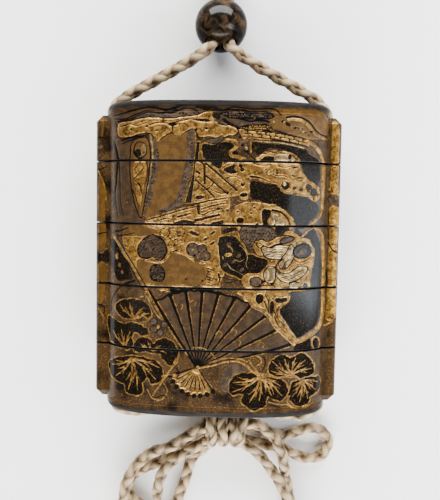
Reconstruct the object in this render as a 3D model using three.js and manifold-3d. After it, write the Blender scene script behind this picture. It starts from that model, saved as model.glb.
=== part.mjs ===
// Inro: a tiered lacquered case for small things, carried on a cord that runs down one side, is tied
// in a bow under the bottom and comes back up the other side, through a sliding bead.
// Millimetres. The case lies on its back: +Y points to the lid's top, +X to its right seen from the
// front, +Z out of the decorated front. The origin is under the middle of the case, on the surface.
import * as THREE from 'three';
import { mergeVertices } from 'three/addons/utils/BufferGeometryUtils.js';
import Module from 'manifold-3d';

const wasm = await Module();
wasm.setup();

// ---- Driving dimensions ----
const CASE_HEIGHT = 80;          // lid's top to the bottom, along Y
const HALF_WIDTH = 28.95;        // body, without the cord runners
const HALF_DEPTH = 12;           // body, half of its thickness
const BODY_EXPONENT = 2.6;       // superellipse: 2 is an ellipse, larger is squarer
const BACK_FLAT = 0.08;          // how much the back is rubbed flat, so that the case lies still
const MIDDLE = HALF_DEPTH - BACK_FLAT; // height of the case's middle plane over the surface
const OUTLINE_POINTS = 56;
const END_ROUND = 2.2;           // radius of the top and bottom edges
const END_ROUND_STEPS = 3;

const LID_HEIGHT = 15.1;
const CASE_PITCH = 15.8;         // height of one middle tier
const MIDDLE_TIERS = 3;
const FIT_GAP = 0.3;             // between tiers, and round each riser

const RUNNER_REACH = 31.75;      // outer face of the cord runner on each side
const RUNNER_ROOT = 24;          // where the runner starts, inside the body
const RUNNER_HALF_THICK = 4.5;
const RUNNER_TOP = 36.8;
const RUNNER_BOTTOM = -36.9;
const RUNNER_CHAMFER = 1.6;
const RUNNER_CORNER = 2.2;       // rounding of its two long outer edges

const RISER_HALF_WIDTH = 24.9;   // the thin collar that the tier above slides over
const RISER_HALF_DEPTH = 10.2;
const RISER_HEIGHT = 4.6;
const RISER_WALL = 1.1;
const RECESS_DEPTH = 5;          // hollow under each tier that takes the collar below
const FLOOR_THICK = 1.4;
const END_THICK = 2;             // lid's top and the case's bottom

const CORD_RADIUS = 1.7;
const CORD_SIDES = 8;
const CHANNEL_RADIUS = 2.1;
const CHANNEL_SIDES = 12;
const CHANNEL_X = 28.2;          // middle of the cord channel
const CHANNEL_FROM_X = 15;       // the cords cut no channel nearer to the case's middle than this

const BEAD_RADIUS = 7;
const BEAD_Y = 61.9;
const BEAD_TILT = THREE.MathUtils.degToRad(28); // its hole rises towards the case
const BEAD_REACH_Y = 50;         // the cords cut the bead only above this
const PAIR_HALF = 1.85;          // half the spacing of two cords side by side

const END_KNOT = { x: 0, y: 75.6, z: 4, halfWidth: 5, halfLength: 3.8, halfHeight: 3.9 };
const BOW_KNOT = { left: -1.6, right: 6.3, y: -49.2, z: 4.35, halfWidth: 5.4, halfHeight: 4.1 };
const BOW_WRAPS = 3;
const WRAP_BULGE = 0.12;         // how much each turn stands out, as a share of the radius

// ---- Shapes ----

/** Points of a superellipse; backFlat cuts its lower side level. */
function superellipse(halfWidth, halfDepth, backFlat = 0) {
  const points = [];
  const power = 2 / BODY_EXPONENT;
  for (let i = 0; i < OUTLINE_POINTS; i += 1) {
    const angle = (2 * Math.PI * i) / OUTLINE_POINTS;
    const across = Math.sign(Math.cos(angle)) * Math.abs(Math.cos(angle)) ** power;
    const up = Math.sign(Math.sin(angle)) * Math.abs(Math.sin(angle)) ** power;
    const lowest = backFlat - halfDepth;
    points.push(new THREE.Vector2(halfWidth * across, Math.max(halfDepth * up, lowest)));
  }
  return new THREE.Shape(points);
}

/** A rectangle whose two outer corners are rounded; side is -1 or 1. */
function runnerOutline(side) {
  const straight = RUNNER_HALF_THICK - RUNNER_CORNER;
  const middle = side * (RUNNER_REACH - RUNNER_CORNER);
  const quarter = Math.PI / 2;
  const start = side > 0 ? -quarter : quarter;
  const shape = new THREE.Shape();
  shape.moveTo(side * RUNNER_ROOT, -side * RUNNER_HALF_THICK);
  shape.lineTo(middle, -side * RUNNER_HALF_THICK);
  shape.absarc(middle, -side * straight, RUNNER_CORNER, start, start + quarter, false);
  shape.absarc(middle, side * straight, RUNNER_CORNER, start + quarter, start + 2 * quarter, false);
  shape.lineTo(side * RUNNER_ROOT, side * RUNNER_HALF_THICK);
  return shape;
}

/** Extrudes an XZ outline along Y, from y0 to y1, with the case's middle plane as its Z = 0. */
function prism(shape, y0, y1, bevel = 0, bevelSteps = 1) {
  const geometry = new THREE.ExtrudeGeometry(shape, {
    depth: y1 - y0 - 2 * bevel,
    curveSegments: 3,
    bevelEnabled: bevel > 0,
    bevelSize: bevel,
    bevelThickness: bevel,
    bevelOffset: -bevel,
    bevelSegments: bevelSteps,
  });
  geometry.rotateX(Math.PI / 2);
  geometry.translate(0, y1 - bevel, MIDDLE);
  return geometry;
}

/** A smooth route whose cross-sections stand at its own points. */
class CordRoute extends THREE.CatmullRomCurve3 {
  getUtoTmapping(u) {
    return u;
  }
}

/** A closed round tube along a route. */
function tube(points, radius, sides) {
  const section = [];
  for (let i = 0; i < sides; i += 1) {
    const angle = (2 * Math.PI * (i + 0.5)) / sides;
    section.push(new THREE.Vector2(radius * Math.cos(angle), radius * Math.sin(angle)));
  }
  const route = new CordRoute(points.map((p) => new THREE.Vector3(...p)));
  return new THREE.ExtrudeGeometry(new THREE.Shape(section), {
    steps: points.length - 1,
    extrudePath: route,
  });
}

// ---- Solids ----

/** The same surface with its shared corners joined. */
function weld(geometry) {
  const bare = geometry.clone();
  bare.deleteAttribute('normal');
  bare.deleteAttribute('uv');
  return mergeVertices(bare, 1e-4);
}

function toSolid(geometry) {
  const merged = weld(geometry);
  return new wasm.Manifold(new wasm.Mesh({
    numProp: 3,
    vertProperties: new Float32Array(merged.attributes.position.array),
    triVerts: new Uint32Array(merged.index.array),
  }));
}

function toGeometry(solid) {
  const mesh = solid.getMesh();
  const geometry = new THREE.BufferGeometry();
  geometry.setAttribute('position', new THREE.BufferAttribute(mesh.vertProperties, 3));
  geometry.setIndex(new THREE.BufferAttribute(mesh.triVerts, 1));
  return geometry;
}

// ---- Materials ----

function finish(color, roughness, metalness = 0) {
  return new THREE.MeshStandardMaterial({ color, roughness, metalness });
}
const lacquer = () => finish(0x8a6d3f, 0.35, 0.3);
const bead = () => finish(0x2e2823, 0.2);
const silk = () => finish(0xb9a785, 0.8);

const inro = new THREE.Group();

function addPart(name, geometry, material) {
  const mesh = new THREE.Mesh(geometry, material);
  mesh.name = name;
  inro.add(mesh);
}

// ---- Cord routes, each a list of chosen points ----

/** Through the bead, down the channel on one side and round to the bow; side is -1 or 1. */
function mainRoute(side, bowEnd) {
  const alongHole = (s) => [BEAD_Y - s * Math.cos(BEAD_TILT), BEAD_RADIUS + s * Math.sin(BEAD_TILT)];
  const points = [
    [PAIR_HALF, 71.4, 3.1],
    [PAIR_HALF, ...alongHole(-7.4)],
    [PAIR_HALF, ...alongHole(0)],
    [PAIR_HALF, ...alongHole(4.3)],
    [2.5, ...alongHole(6.8)],
    [4.3, ...alongHole(8.8)],
    [8.4, 51.4, 11.2],
    [17.5, 46.2, 11.5],
    [22.2, 43.5, 11.8],
    [25.7, 41.2, MIDDLE],
    [27.6, 39.1, MIDDLE],
    [CHANNEL_X, 36.4, MIDDLE],
    [CHANNEL_X, 31, MIDDLE],
    [CHANNEL_X, -31, MIDDLE],
    [CHANNEL_X, -36.5, MIDDLE],
    [26.7, -40.4, MIDDLE],
    [23, -42.1, 11.4],
    [17, -42.3, 9.2],
  ];
  return [...points.map(([x, y, z]) => [side * x, y, z]), ...bowEnd];
}

const CORD_LEFT = mainRoute(-1, [[-10.6, -43.3, 5.2], [-6.2, -44.6, 2.4], [-2.2, -44.9, 2.1]]);
const CORD_RIGHT = mainRoute(1, [[13.6, -42.8, 5.4], [10, -44, 2.4], [6.9, -44.5, 2.1]]);

const LOOP_LEFT_OUTER = [
  [-2.5, -48.4, 5.7], [-5.8, -49.7, 5.7], [-9.2, -52, 5.7], [-13.1, -54.5, 5.6], [-17, -55.9, 5],
  [-20.3, -58.1, 4.7], [-23.2, -61.4, 5.6], [-25.1, -65.4, 5.9], [-25.8, -70, 5.6], [-26.5, -75.5, 2.9],
  [-25.9, -80.5, 1.9], [-22.5, -84.1, 1.9], [-18.3, -82.9, 3.2], [-16.5, -78.6, 5.6], [-16.3, -74, 5.3],
  [-16.3, -69, 4.5], [-15.7, -64.5, 5.3], [-13.9, -60.5, 5.8], [-10.6, -57.3, 5.7], [-6.6, -54.7, 5.7],
  [-2.9, -52.7, 5.7],
];
const LOOP_LEFT_INNER = [
  [-3.1, -50.7, 1.9], [-6.8, -53, 1.8], [-11, -56.5, 1.8], [-15, -59.6, 1.8], [-19, -61.6, 1.8],
  [-22.6, -63.4, 1.8], [-24.9, -66.5, 1.8], [-24.6, -70, 1.8], [-21.9, -72.8, 1.8], [-18.6, -75.6, 1.8],
  [-14.9, -77.5, 1.8], [-11.6, -76, 1.8], [-10.7, -72.4, 1.8], [-9.9, -69, 1.8], [-8.4, -65, 1.8],
  [-7.6, -61.4, 1.8], [-6.1, -58.2, 1.8], [-3.2, -55.8, 1.8],
];
const LOOP_RIGHT_SMALL = [
  [6.9, -49.1, 1.9], [11, -49.5, 1.8], [15.6, -50.6, 1.8], [19.6, -51.4, 1.8], [23.4, -50.2, 1.8],
  [27.3, -49, 1.8], [30.6, -49.9, 1.8], [32.3, -53, 1.8], [31.1, -56.3, 1.8], [27.7, -57.9, 1.8],
  [23.7, -57.3, 1.8], [20, -55.6, 1.8], [15.5, -54.5, 1.8], [11, -53.5, 1.8], [7, -53.1, 1.9],
];
const LOOP_RIGHT_LARGE = [
  [7.1, -47.2, 5.8], [10.4, -46.9, 5.8], [13.8, -48, 5.8], [16.7, -50.7, 5.8], [18.5, -54.2, 5.9],
  [19.6, -58.6, 4.9], [20.3, -63.2, 2.1], [21.2, -67.6, 1.8], [21.8, -72, 1.8], [20.9, -77.2, 1.8],
  [20.6, -82.2, 1.8], [23.6, -86, 1.8], [27.6, -84.8, 1.8], [28.6, -80.4, 1.8], [25.9, -76.4, 3.3],
  [22.9, -73, 5.5], [21, -69.6, 5.6], [20, -66.9, 5.5], [18.6, -64.2, 5.2], [16, -60.4, 4.6],
  [13.5, -57, 5.2], [10.9, -54.4, 5.9], [7.6, -52.2, 5.8],
];

// ---- The case: one blank, cut into tiers ----

const runnerShapes = [-1, 1].map(runnerOutline);
const bodyShape = superellipse(HALF_WIDTH, HALF_DEPTH, BACK_FLAT);
const top = CASE_HEIGHT / 2;
const bottom = -top;

let blank = toSolid(prism(bodyShape, bottom, top, END_ROUND, END_ROUND_STEPS));
for (const shape of runnerShapes) {
  blank = blank.add(toSolid(prism(shape, RUNNER_BOTTOM, RUNNER_TOP, RUNNER_CHAMFER)));
}
for (const route of [CORD_LEFT, CORD_RIGHT]) {
  const besideCase = route.filter(([x]) => Math.abs(x) > CHANNEL_FROM_X);
  blank = blank.subtract(toSolid(tube(besideCase, CHANNEL_RADIUS, CHANNEL_SIDES)));
}

const riserShape = superellipse(RISER_HALF_WIDTH, RISER_HALF_DEPTH);
const recessShape = superellipse(RISER_HALF_WIDTH + FIT_GAP, RISER_HALF_DEPTH + FIT_GAP);
const roomShape = superellipse(RISER_HALF_WIDTH - RISER_WALL, RISER_HALF_DEPTH - RISER_WALL);
const OVERCUT = 1;               // how far a cutting solid runs past the face it opens

/** One tier between two seams; a tier under another has a riser, a tier over another a recess. */
function tier(low, high, hasRiser, hasRecess) {
  const slab = new THREE.BoxGeometry(4 * HALF_WIDTH, high - low, 4 * HALF_DEPTH);
  slab.translate(0, (low + high) / 2, MIDDLE);
  let solid = blank.intersect(toSolid(slab));
  if (hasRiser) {
    const riserTop = high + RISER_HEIGHT;
    const floor = hasRecess ? low + RECESS_DEPTH + FLOOR_THICK : low + END_THICK;
    solid = solid.add(toSolid(prism(riserShape, high - RECESS_DEPTH, riserTop)));
    solid = solid.subtract(toSolid(prism(roomShape, floor, riserTop + OVERCUT)));
  }
  if (hasRecess) {
    const ceiling = hasRiser ? low + RECESS_DEPTH : high - END_THICK;
    solid = solid.subtract(toSolid(prism(recessShape, low - OVERCUT, ceiling)));
  }
  return toGeometry(solid);
}

const lidSeam = top - LID_HEIGHT;
addPart('lid', tier(lidSeam + FIT_GAP / 2, top, false, true), lacquer());
for (let i = 0; i < MIDDLE_TIERS; i += 1) {
  const high = lidSeam - i * CASE_PITCH;
  const low = high - CASE_PITCH;
  addPart(`case_${i + 1}`, tier(low + FIT_GAP / 2, high - FIT_GAP / 2, true, true), lacquer());
}
const lastSeam = lidSeam - MIDDLE_TIERS * CASE_PITCH;
addPart(`case_${MIDDLE_TIERS + 1}`, tier(bottom, lastSeam - FIT_GAP / 2, true, false), lacquer());

// ---- Bead, with a wide hole that both cords share ----

const beadBall = weld(new THREE.SphereGeometry(BEAD_RADIUS, 26, 14));
beadBall.rotateX(-BEAD_TILT);
beadBall.translate(0, BEAD_Y, BEAD_RADIUS);
let beadSolid = toSolid(beadBall);
for (const route of [CORD_LEFT, CORD_RIGHT]) {
  const throughBead = route.filter(([, y]) => y > BEAD_REACH_Y);
  beadSolid = beadSolid.subtract(toSolid(tube(throughBead, CHANNEL_RADIUS, CHANNEL_SIDES)));
}
addPart('ojime_bead', toGeometry(beadSolid), bead());

// ---- Cords and knots ----

const routes = {
  cord_left: CORD_LEFT,
  cord_right: CORD_RIGHT,
  loop_left_outer: LOOP_LEFT_OUTER,
  loop_left_inner: LOOP_LEFT_INNER,
  loop_right_small: LOOP_RIGHT_SMALL,
  loop_right_large: LOOP_RIGHT_LARGE,
};
for (const [name, points] of Object.entries(routes)) {
  addPart(name, tube(points, CORD_RADIUS, CORD_SIDES), silk());
}

/** Three turns of cord wound side by side round the middle of the bow. */
function bowKnot({ left, right, y, z, halfWidth, halfHeight }) {
  const profile = [new THREE.Vector2(0, left)];
  const steps = BOW_WRAPS * 4;
  for (let i = 0; i <= steps; i += 1) {
    const along = i / steps;
    const bulge = 1 - WRAP_BULGE * (1 - Math.abs(Math.sin(Math.PI * BOW_WRAPS * along)));
    profile.push(new THREE.Vector2(halfWidth * bulge, left + (right - left) * along));
  }
  profile.push(new THREE.Vector2(0, right));
  const knot = weld(new THREE.LatheGeometry(profile, 18));
  knot.rotateZ(-Math.PI / 2);
  knot.scale(1, 1, halfHeight / halfWidth);
  knot.translate(0, y, z);
  return knot;
}
addPart('bow_knot', toGeometry(toSolid(bowKnot(BOW_KNOT))), silk());

const endKnot = weld(new THREE.SphereGeometry(1, 14, 9));
endKnot.scale(END_KNOT.halfWidth, END_KNOT.halfLength, END_KNOT.halfHeight);
endKnot.translate(END_KNOT.x, END_KNOT.y, END_KNOT.z);
addPart('end_knot', endKnot, silk());

export default inro;
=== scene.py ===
"""A tiered lacquer case (inro) lying on its back, with its bead and its braided cord tied in a bow.

Sizes are in millimetres in this file and turn to metres only where a mesh is placed. The picture on
the case is worked out as signed distances from its drawn forms, kept as one attribute for each kind
of lacquer work, so that its edges stay crisp, and raised a little where the real work is raised.
"""

import logging
import math
from dataclasses import dataclass, field
from enum import Enum
from typing import Callable, Protocol, Sequence

import bmesh
import bpy
import numpy as np
from mathutils import Matrix, Vector

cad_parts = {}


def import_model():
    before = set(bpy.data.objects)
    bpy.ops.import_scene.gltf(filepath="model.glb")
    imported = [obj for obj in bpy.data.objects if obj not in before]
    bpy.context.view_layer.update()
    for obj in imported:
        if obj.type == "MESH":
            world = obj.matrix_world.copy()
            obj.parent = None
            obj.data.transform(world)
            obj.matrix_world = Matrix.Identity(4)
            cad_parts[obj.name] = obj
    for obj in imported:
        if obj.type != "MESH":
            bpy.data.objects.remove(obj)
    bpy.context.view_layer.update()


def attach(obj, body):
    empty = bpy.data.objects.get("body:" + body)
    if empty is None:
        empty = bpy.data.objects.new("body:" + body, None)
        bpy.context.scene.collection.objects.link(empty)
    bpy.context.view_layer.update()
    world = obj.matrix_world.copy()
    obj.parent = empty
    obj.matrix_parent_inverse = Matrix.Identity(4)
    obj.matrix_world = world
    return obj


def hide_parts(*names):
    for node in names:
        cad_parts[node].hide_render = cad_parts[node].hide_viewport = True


MM = 0.001
LOG = logging.getLogger("inro")

Array = np.ndarray
Point = tuple[float, float]
Point3 = tuple[float, float, float]
Placer = Callable[[Array, Array], Array]


# ---------------- meshes


def wrapped_grid(name: str, columns: int, rows: int, place: Placer) -> bpy.types.Mesh:
    """Makes a grid and lays its corners where place says.

    Args:
        name: name of the mesh.
        columns: cells along u.
        rows: cells along v.
        place: gives positions in millimetres for arrays of u and v, each from 0 to 1.

    Returns:
        The mesh in metres, with u and v as its UV map.
    """
    shape = bmesh.new()
    shape.loops.layers.uv.new("UVMap")
    bmesh.ops.create_grid(shape, x_segments=columns, y_segments=rows, size=0.5, calc_uvs=True)
    mesh = bpy.data.meshes.new(name)
    shape.to_mesh(mesh)
    shape.free()
    flat = positions(mesh)
    place_at = place(flat[:, 0] + 0.5, flat[:, 1] + 0.5)
    move_to(mesh, place_at * MM)
    return mesh


def positions(mesh: bpy.types.Mesh) -> Array:
    """Returns the mesh's corners as an array of points.

    Args:
        mesh: the mesh to read.

    Returns:
        One row for each corner, in metres.
    """
    flat = np.empty(len(mesh.vertices) * 3, dtype=np.float32)
    mesh.vertices.foreach_get("co", flat)
    return flat.reshape(-1, 3).astype(float)


def normals(mesh: bpy.types.Mesh) -> Array:
    """Returns the normal at each corner of the mesh.

    Args:
        mesh: the mesh to read.

    Returns:
        One unit vector for each corner.
    """
    flat = np.empty(len(mesh.vertices) * 3, dtype=np.float32)
    mesh.vertex_normals.foreach_get("vector", flat)
    return flat.reshape(-1, 3).astype(float)


def move_to(mesh: bpy.types.Mesh, points: Array) -> None:
    """Moves the mesh's corners to points."""
    mesh.vertices.foreach_set("co", points.astype(np.float32).ravel())
    mesh.update()


def join(meshes: Sequence[bpy.types.Mesh], name: str, merge: float = 0.002) -> bpy.types.Mesh:
    """Joins meshes, merges doubled corners and closes open ends.

    Args:
        meshes: the meshes to join; they are removed.
        name: name of the new mesh.
        merge: corners nearer than this, in millimetres, become one.

    Returns:
        The joined mesh, with its faces pointing out.
    """
    shape = bmesh.new()
    for mesh in meshes:
        shape.from_mesh(mesh)
        bpy.data.meshes.remove(mesh)
    bmesh.ops.remove_doubles(shape, verts=shape.verts[:], dist=merge * MM)
    open_edges = [edge for edge in shape.edges if edge.is_boundary]
    if open_edges:
        bmesh.ops.holes_fill(shape, edges=open_edges, sides=0)
    bmesh.ops.recalc_face_normals(shape, faces=shape.faces[:])
    joined = bpy.data.meshes.new(name)
    shape.to_mesh(joined)
    shape.free()
    return joined


def add_piece(mesh: bpy.types.Mesh, material: bpy.types.Material) -> bpy.types.Object:
    """Puts a mesh in the scene as a piece of the part.

    Args:
        mesh: the piece's mesh, already in place.
        material: its finish.

    Returns:
        The new object, riding on the part.
    """
    piece = bpy.data.objects.new(mesh.name, mesh)
    bpy.context.scene.collection.objects.link(piece)
    mesh.materials.clear()
    mesh.materials.append(material)
    mesh.polygons.foreach_set("use_smooth", [True] * len(mesh.polygons))
    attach(piece, "root")
    return piece


def cut_away(piece: bpy.types.Object, cutters: Sequence[bpy.types.Mesh]) -> None:
    """Cuts closed meshes out of a piece, and removes them.

    Args:
        piece: the closed piece to cut.
        cutters: closed meshes, in place.
    """
    for cutter in cutters:
        tool = bpy.data.objects.new("cutter", cutter)
        bpy.context.scene.collection.objects.link(tool)
        cut = piece.modifiers.new("cut", "BOOLEAN")
        cut.operation = "DIFFERENCE"
        cut.solver = "MANIFOLD"
        cut.object = tool
        graph = bpy.context.evaluated_depsgraph_get()
        result = bpy.data.meshes.new_from_object(piece.evaluated_get(graph))
        piece.modifiers.remove(cut)
        old = piece.data
        result.name = old.name + "_cut"
        piece.data = result
        bpy.data.objects.remove(tool)
        bpy.data.meshes.remove(old)
        bpy.data.meshes.remove(cutter)


# ---------------- routes and braided cord


def smooth_route(points: Sequence[Point3], spacing: float) -> Array:
    """Runs one smooth curve through points and divides it evenly.

    Args:
        points: chosen points of the route, in millimetres.
        spacing: distance between the points returned.

    Returns:
        Points along the curve.
    """
    given = np.array(points, dtype=float)
    given = np.vstack([2 * given[0] - given[1], given, 2 * given[-1] - given[-2]])
    fine = []
    for four in zip(given, given[1:], given[2:], given[3:]):
        steps = [math.sqrt(np.linalg.norm(b - a)) for a, b in zip(four, four[1:])]
        knots = np.cumsum([0.0] + steps)
        t = np.linspace(knots[1], knots[2], 24, endpoint=False)[:, None]
        level = list(four)
        for gap, first in ((1, 0), (2, 0), (1, 1)):
            level = [
                ((knots[i + gap] - t) * a + (t - knots[i]) * b) / (knots[i + gap] - knots[i])
                for i, (a, b) in enumerate(zip(level, level[1:]), start=first)
            ]
        fine.append(level[0])
    fine.append(given[-2][None, :])
    return divide_evenly(np.vstack(fine), spacing)


def divide_evenly(line: Array, spacing: float) -> Array:
    """Returns points spaced evenly along a line of points.

    Args:
        line: the points, in millimetres.
        spacing: distance between the points returned.

    Returns:
        The new points.
    """
    steps = np.linalg.norm(np.diff(line, axis=0), axis=1)
    along = np.concatenate([[0.0], np.cumsum(steps)])
    count = max(2, int(round(along[-1] / spacing)) + 1)
    even = np.linspace(0.0, along[-1], count)
    return np.stack([np.interp(even, along, line[:, axis]) for axis in range(3)], axis=1)


def line_length(line: Array) -> float:
    """Returns the length of a line of points."""
    return float(np.linalg.norm(np.diff(line, axis=0), axis=1).sum())


def frames_along(line: Array) -> tuple[Array, Array]:
    """Gives two side directions at each point of a line that don't twist about it.

    Args:
        line: points of the line.

    Returns:
        Two arrays of unit vectors, square to the line and to each other.
    """
    tangents = np.gradient(line, axis=0)
    tangents /= np.linalg.norm(tangents, axis=1)[:, None]
    start = np.cross(tangents[0], (0.31, 0.17, 0.93))
    side = start / np.linalg.norm(start)
    sides = []
    for tangent in tangents:
        side = side - tangent * float(side @ tangent)
        side = side / np.linalg.norm(side)
        sides.append(side)
    across = np.array(sides)
    return across, np.cross(tangents, across)


def swept_tube(name: str, line: Array, radii: tuple[float, float], sides: int) -> bpy.types.Mesh:
    """Sweeps an oval section along a line.

    Args:
        name: name of the mesh.
        line: points of the line, in millimetres.
        radii: the section's two half-widths.
        sides: how many sides the section has.

    Returns:
        A tube, open along its seam and at its ends until it is joined.
    """
    across, upward = frames_along(line)

    def place(u: Array, v: Array) -> Array:
        """Lays u round the section and v along the line.

        Args:
            u: shares of the way round, from 0 to 1.
            v: shares of the way along, from 0 to 1.

        Returns:
            A point for each u and v, in millimetres.
        """
        index = np.rint(v * (len(line) - 1)).astype(int)
        angle = 2 * math.pi * u
        return (
            line[index]
            + across[index] * (radii[0] * np.cos(angle))[:, None]
            + upward[index] * (radii[1] * np.sin(angle))[:, None]
        )

    return wrapped_grid(name, sides, len(line) - 1, place)


@dataclass(frozen=True)
class Braid:
    """A round braid of four strands, two turning each way and passing over and under."""

    diameter: float = 3.4
    strand_width: float = 2.05
    strand_thickness: float = 1.45
    lift: float = 0.22
    core: float = 0.9
    core_step: int = 3
    repeat: float = 11.0
    spacing: float = 0.36
    sides: int = 9

    def build(self, name: str, line: Array, spacing: float | None = None) -> bpy.types.Mesh:
        """Braids the strands along a line.

        Args:
            name: name of the mesh.
            line: the cord's middle line, in millimetres.
            spacing: distance between sections, or None for the usual one.

        Returns:
            The closed strands as one mesh.
        """
        middle = divide_evenly(line, spacing or self.spacing)
        across, upward = frames_along(middle)
        along = np.linspace(0.0, line_length(middle), len(middle))
        orbit = self.diameter / 2 - self.strand_thickness / 2 - self.lift
        strands = []
        for number, (turn, start) in enumerate(((1, 0.0), (1, math.pi), (-1, 0.0), (-1, math.pi))):
            winding = turn * 2 * math.pi * along / self.repeat + start
            radius = orbit + turn * self.lift * np.cos(2 * winding)
            angle = winding + math.pi / 4
            strand = (
                middle
                + across * (radius * np.cos(angle))[:, None]
                + upward * (radius * np.sin(angle))[:, None]
            )
            strands.append(self._strand(f"{name}_{number}", middle, strand))
        # The core in the braid's middle takes the silk's painted shade: a dark fill standing in for the shade
        # between the strands
        strands.append(swept_tube(name + "_core", middle[:: self.core_step], (self.core, self.core), 8))
        return join(strands, name)

    def _strand(self, name: str, middle: Array, strand: Array) -> bpy.types.Mesh:
        """Sweeps one flattened strand whose flat side faces the cord's middle.

        Args:
            name: name of the mesh.
            middle: the cord's middle line.
            strand: the strand's own middle line.

        Returns:
            The strand's tube.
        """
        tangents = np.gradient(strand, axis=0)
        tangents /= np.linalg.norm(tangents, axis=1)[:, None]
        outward = strand - middle
        outward -= tangents * np.sum(outward * tangents, axis=1)[:, None]
        outward /= np.linalg.norm(outward, axis=1)[:, None]
        sideways = np.cross(tangents, outward)

        def place(u: Array, v: Array) -> Array:
            """Lays u round the strand and v along it.

            Args:
                u: shares of the way round, from 0 to 1.
                v: shares of the way along, from 0 to 1.

            Returns:
                A point for each u and v, in millimetres.
            """
            index = np.rint(v * (len(strand) - 1)).astype(int)
            angle = 2 * math.pi * u
            return (
                strand[index]
                + sideways[index] * (self.strand_width / 2 * np.cos(angle))[:, None]
                + outward[index] * (self.strand_thickness / 2 * np.sin(angle))[:, None]
            )

        return wrapped_grid(name, self.sides, len(strand) - 1, place)


# ---------------- finishes


def linear(colour: str) -> tuple[float, float, float, float]:
    """Turns an sRGB hex colour such as 8A6B3C to linear values, with alpha 1.

    Args:
        colour: six hex digits.

    Returns:
        Red, green, blue and alpha.
    """
    values = [int(colour[i : i + 2], 16) / 255 for i in (0, 2, 4)]
    mixed = [v / 12.92 if v <= 0.04045 else ((v + 0.055) / 1.055) ** 2.4 for v in values]
    return (*mixed, 1.0)


@dataclass
class Board:
    """A material's node tree, while it is being laid out."""

    material: bpy.types.Material

    @classmethod
    def named(cls, name: str) -> "Board":
        """Starts a new material with an empty node tree.

        Args:
            name: the material's name.

        Returns:
            The board with its empty tree.
        """
        material = bpy.data.materials.new(name)
        material.use_nodes = True
        material.node_tree.nodes.clear()
        return cls(material)

    def add(self, kind: str, inputs: dict | None = None, **settings: object) -> bpy.types.Node:
        """Adds one node with its settings and links.

        Args:
            kind: the node's type without its ShaderNode prefix.
            inputs: a value or an output socket for each input, by name or number.
            settings: the node's own properties.

        Returns:
            The new node.
        """
        node = self.material.node_tree.nodes.new("ShaderNode" + kind)
        for key, value in settings.items():
            setattr(node, key, value)
        for key, value in (inputs or {}).items():
            if isinstance(value, bpy.types.NodeSocket):
                self.material.node_tree.links.new(value, node.inputs[key])
            else:
                node.inputs[key].default_value = value
        return node

    def finish(self, shader: bpy.types.Node) -> bpy.types.Material:
        """Links the shader to the surface and returns the material."""
        self.add("OutputMaterial", {"Surface": shader.outputs[0]})
        return self.material


@dataclass(frozen=True)
class SilkCord:
    """Braided silk, undyed, darkened in its hollows by painted shade and a little soiled in random patches.

    The eye gets pale cream lobes, lighter at their crests as a painted highlight, with a soft sheen along
    their threads and painted shade in warm brown between them.
    """

    # crest is a painted highlight on the outermost lobes; hollow is the painted shade between the strands and
    # also tints the random soil patches
    crest: str = "C0A67C"
    body: str = "7C613B"
    hollow: str = "46341F"
    soil_size: float = 6.0

    def build(self) -> bpy.types.Material:
        """Mixes the silk's colours, with painted shade and highlight by how far each corner stands out, soil
        and threads.

        Returns:
            The material.
        """
        board = Board.named("braided silk")
        crest_shading = board.add("Attribute", attribute_name="crest", attribute_type="GEOMETRY")
        spot = board.add("TexCoord").outputs["Object"]
        uneven = board.add("TexNoise", {"Vector": spot, "Scale": 1 / (self.soil_size * MM), "Detail": 3.0})
        # Painted shade and highlight: hollow colour near the cord's middle line, crest colour on the lobes
        # that stand out most
        ramp = board.add("ValToRGB", {"Fac": crest_shading.outputs["Fac"]})
        ramp.color_ramp.elements[0].color = linear(self.hollow)
        ramp.color_ramp.elements[0].position = 0.2
        ramp.color_ramp.elements[1].color = linear(self.crest)
        ramp.color_ramp.elements[1].position = 1.0
        middle = ramp.color_ramp.elements.new(0.7)
        middle.color = linear(self.body)
        spread = {"Value": uneven.outputs["Fac"], "From Min": 0.42, "From Max": 0.72, "To Max": 0.4}
        share = board.add("MapRange", spread).outputs["Result"]
        layers = {0: share, 6: ramp.outputs["Color"], 7: linear(self.hollow)}
        soiled = board.add("Mix", layers, data_type="RGBA")
        lie = board.add("UVMap", uv_map="UVMap")
        threads = board.add(
            "TexWave",
            {"Vector": lie.outputs["UV"], "Scale": 3.2, "Distortion": 0.6, "Detail": 1.0},
            wave_type="BANDS",
            bands_direction="X",
        )
        bump = board.add("Bump", {"Height": threads.outputs["Fac"], "Strength": 0.3, "Distance": 0.05 * MM})
        shader = board.add(
            "BsdfPrincipled",
            {
                "Base Color": soiled.outputs[2],
                "Roughness": 0.6,
                "Sheen Weight": 0.25,
                "Sheen Roughness": 0.4,
                "Normal": bump.outputs["Normal"],
            },
        )
        return board.finish(shader)


@dataclass(frozen=True)
class PaleFloor:
    """Plain matt white paper under the part."""

    colour: str = "FBFAF8"

    def build(self) -> bpy.types.Material:
        """Mixes the paper's colour and grain.

        Returns:
            The material.
        """
        board = Board.named("matt white paper")
        spot = board.add("TexCoord").outputs["Object"]
        grain = board.add("TexNoise", {"Vector": spot, "Scale": 900.0})
        bump = board.add("Bump", {"Height": grain.outputs["Fac"], "Strength": 0.03, "Distance": 0.05 * MM})
        shader = board.add(
            "BsdfPrincipled",
            {"Base Color": linear(self.colour), "Roughness": 0.95, "Normal": bump.outputs["Normal"]},
        )
        return board.finish(shader)


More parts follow.
